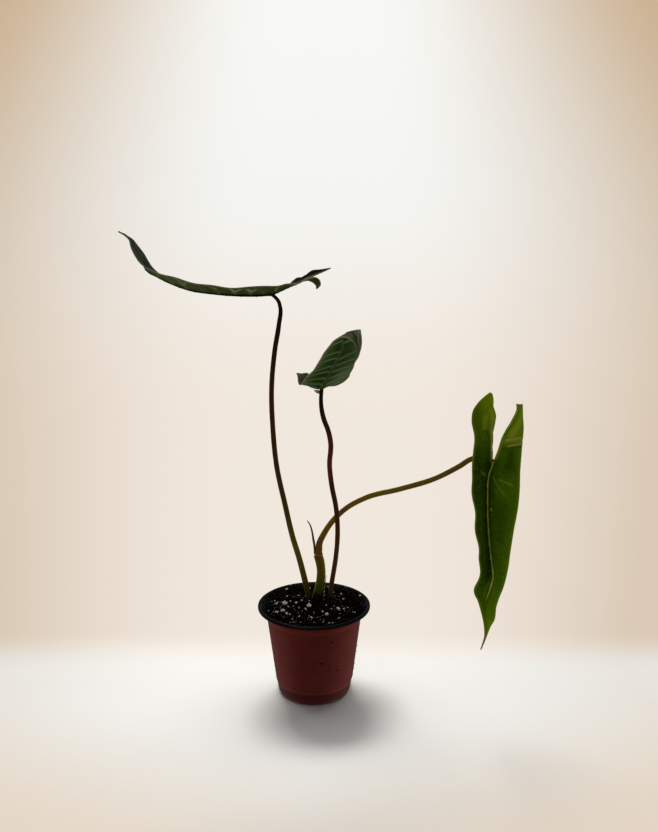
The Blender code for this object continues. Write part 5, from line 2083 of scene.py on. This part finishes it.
@dataclass
class Studio:
    """A plain pale floor that sweeps up into a glowing backdrop, with dim soft light on the plant itself.

    The paper is white in the middle, darker and warmer to the sides and in front, a painted falloff of light.
    The glow strengthens up the wall.
    """

    radius: float = 1900.0
    sweep: float = 300.0
    sweep_steps: int = 16
    wall: float = 2600.0
    inner_ring: float = 60.0
    steps: int = 96
    middle: str = "#fdfefb"
    low: str = "#fff5ea"
    # The side and front tones are darker than the middle: a painted falloff of light.
    side: str = "#cfb492"
    front: str = "#ecd0b0"
    glow_floor: float = 0.9
    glow_low: float = 0.88
    glow_high: float = 0.95
    glow_high_at_m: float = 1.2
    air_colour: str = "#f6f4f4"
    air: float = 0.14
    camera_away_m: float = 0.66
    widest_slant: float = 0.45
    low_spread: float = 1.36
    lift_spread: float = 0.64
    corner_slope: float = 0.35
    front_warmth: float = 0.42
    front_strength: float = 0.62

    def build(self, pot: Object) -> None:
        """Build the floor and backdrop, the lamps and the surrounding light.

        Args:
            pot: The pot, which the light from the floor leaves out.
        """
        arc = [
            (self.radius - self.sweep * (1 - math.sin(a)), self.sweep * (1 - math.cos(a)))
            for a in np.linspace(0, math.pi / 2, self.sweep_steps)
        ]
        outline = [(0.0, 0.0), (self.inner_ring, 0.0), *arc, (self.radius, self.wall), (0.0, self.wall)]
        places, faces = turn(np.array(outline), self.steps)
        mesh = new_mesh("backdrop", places, [face[::-1] for face in faces if len(places) - 1 not in face])
        mesh.materials.append(self.paper())
        backdrop = add_piece("backdrop", mesh)
        backdrop.visible_diffuse = False
        backdrop.visible_glossy = False
        for lamp in LAMPS:
            lamp.build(backdrop, pot)
        world = bpy.data.worlds.new("studio_air")
        world.use_nodes = True
        background = world.node_tree.nodes["Background"]
        set_inputs(world.node_tree, background, {"Color": linear(self.air_colour), "Strength": self.air})
        bpy.context.scene.world = world

    def paper(self) -> Material:
        """Make the backdrop's paper, white in the middle and darker and warmer to the sides, a painted
        falloff of light, with a glow of its own.

        Each step below is named and can use the steps before it. A SMOOTHSTEP fades over a span, in metres
        or as a slant sideways from the camera, from one strength to another.

        Returns:
            The material.
        """
        material, tree, shader = new_material("backdrop_paper_pale")
        place = add_node(tree, "ShaderNodeTexCoord").outputs["Object"]
        apart = add_node(tree, "ShaderNodeSeparateXYZ", inputs={0: place}).outputs
        away = add_node(tree, VECTOR_MATH, {"operation": "LENGTH"}, {0: place}).outputs["Value"]
        value = {"x": apart["X"], "y": apart["Y"], "z": apart["Z"], "away": away}
        for label, operation, *given in (
            ("aside", "ABSOLUTE", "x"), ("depth", "ABSOLUTE", "y"),
            ("distance", "ADD", "depth", self.camera_away_m), ("ratio", "DIVIDE", "aside", "distance"),
            ("slant", "MINIMUM", "ratio", self.widest_slant), ("lift", "POWER", "z", 2.0),
            ("spread", "MULTIPLY_ADD", "lift", self.lift_spread, self.low_spread),
            ("reach", "MULTIPLY", "slant", "spread"),
            ("corner", "MULTIPLY_ADD", "aside", -self.corner_slope, "y"),
            # warm, near and the mixes built on them paint a falloff of light: the paper darker to the sides
            # and in front.
            ("warm", "SMOOTHSTEP", "reach", 0.13, 1.05, 0.0, 1.0),
            ("behind", "SMOOTHSTEP", "y", 0.03, 0.12, 0.0, 1.0),
            ("round", "SMOOTHSTEP", "away", 0.45, 1.2, 0.0, 1.0),
            ("far", "SMOOTHSTEP", "away", 0.05, 0.35, 0.0, 1.0),
            ("near", "SMOOTHSTEP", "corner", -0.3, -0.08, self.front_strength, 0.0),
            ("low", "SMOOTHSTEP", "z", 0.0, 0.8, 1.0, 0.0),
            ("close", "SMOOTHSTEP", "away", 0.4, 0.8, 1.0, 0.0),
            ("back", "MAXIMUM", "behind", "round"),
            ("calm", "MULTIPLY_ADD", "back", 1 - self.front_warmth, self.front_warmth),
            ("sideways", "MULTIPLY", "warm", "calm"), ("lower", "MULTIPLY", "low", "back"),
            ("in front", "MULTIPLY", "near", "close"), ("glowing", "MAXIMUM", "far", "back"),
        ):
            ready = {number: value.get(item, item) for number, item in enumerate(given)}
            smooth = operation == "SMOOTHSTEP"
            kind, settings = (RANGE, SOFTLY) if smooth else (MATH, {"operation": operation})
            value[label] = add_node(tree, kind, settings, ready).outputs[0]
        colour = linear(self.middle)
        for share, other in (("lower", self.low), ("in front", self.front), ("sideways", self.side)):
            ends = {0: value[share], 6: colour, 7: linear(other)}
            colour = add_node(tree, MIX, COLOURS, ends).outputs[2]
        span = {"Value": value["z"], "From Max": self.glow_high_at_m, "To Min": self.glow_low,
                "To Max": self.glow_high}
        wall_glow = add_node(tree, RANGE, inputs=span).outputs["Result"]
        ends = {0: value["back"], 2: self.glow_floor, 3: wall_glow}
        glow = add_node(tree, MIX, {"data_type": "FLOAT"}, ends).outputs[0]
        strength = add_node(tree, MATH, MULTIPLY, {0: value["glowing"], 1: glow}).outputs[0]
        ends = {0: value["glowing"], 6: colour, 7: linear("#000000")}
        unlit = add_node(tree, MIX, COLOURS, ends).outputs[2]
        set_inputs(tree, shader, {
            "Base Color": unlit, "Emission Color": colour, "Emission Strength": strength, "Roughness": 0.9,
            "Specular IOR Level": 0.0,
        })
        return material


@dataclass
class PhotoCamera:
    """The camera at the photograph's place, looking along +Y and a little down."""

    place: Point = (14.0, -656.0, 369.5)
    pitch: float = 9.27
    lens: float = 32.0
    sensor: float = 36.0

    def build(self) -> None:
        """Add the camera and make it the scene's own."""
        data = bpy.data.cameras.new("photo_camera")
        data.lens = self.lens
        data.sensor_width = self.sensor
        camera = bpy.data.objects.new("photo_camera", data)
        camera.location = Vector(self.place) * MM
        camera.rotation_euler = (math.radians(90.0 - self.pitch), 0.0, 0.0)
        bpy.context.scene.collection.objects.link(camera)
        bpy.context.scene.camera = camera
        bpy.context.scene.view_settings.view_transform = "Standard"


def main() -> None:
    """Build the dressed plant, piece by piece, then the stage, the light and the camera."""
    logging.basicConfig(level=logging.INFO, format="%(message)s")
    pot, soil = NurseryPot.from_frame(), SoilBed.from_frame()
    shell = pot.build(MouldedRed().build(), MouldedBlack().build())
    ground, flange = soil.build(PEAT.build()), pot.flange_ground()
    strewing, placing = grain_tree(Lay.STREWN), grain_tree(Lay.PLACED)
    for grains in STREWN:
        grains.build(ground, strewing)
    SPILL.build(flange, strewing)
    for used in (ground, flange):
        bpy.data.objects.remove(used, do_unlink=True)

    def on_soil(x: float, y: float) -> Point:
        """Find the place of a grain on the soil or, beyond it, on the flange."""
        away = math.hypot(x, y)
        return x, y, GRAIN_LIFT + (soil.height(x, y) if away < soil.edge else pot.flange_height(away))

    PERLITE_GRAINS.build(on_soil, placing)
    for specks in (POT_SPECKS, POT_STAIN):
        specks.build(pot.wall_place, placing)
    tree = stalk_tree()
    for stalk in STALKS:
        stalk.build(tree)
    FIBRES.build(tree, soil)
    ShootSheath("shoot_sheath", SHOOT_SHEATH_SKIN).build()
    for blade in BLADES:
        blade.build()
    Studio().build(shell)
    PhotoCamera().build()
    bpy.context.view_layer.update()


if __name__ == "__main__":
    main()
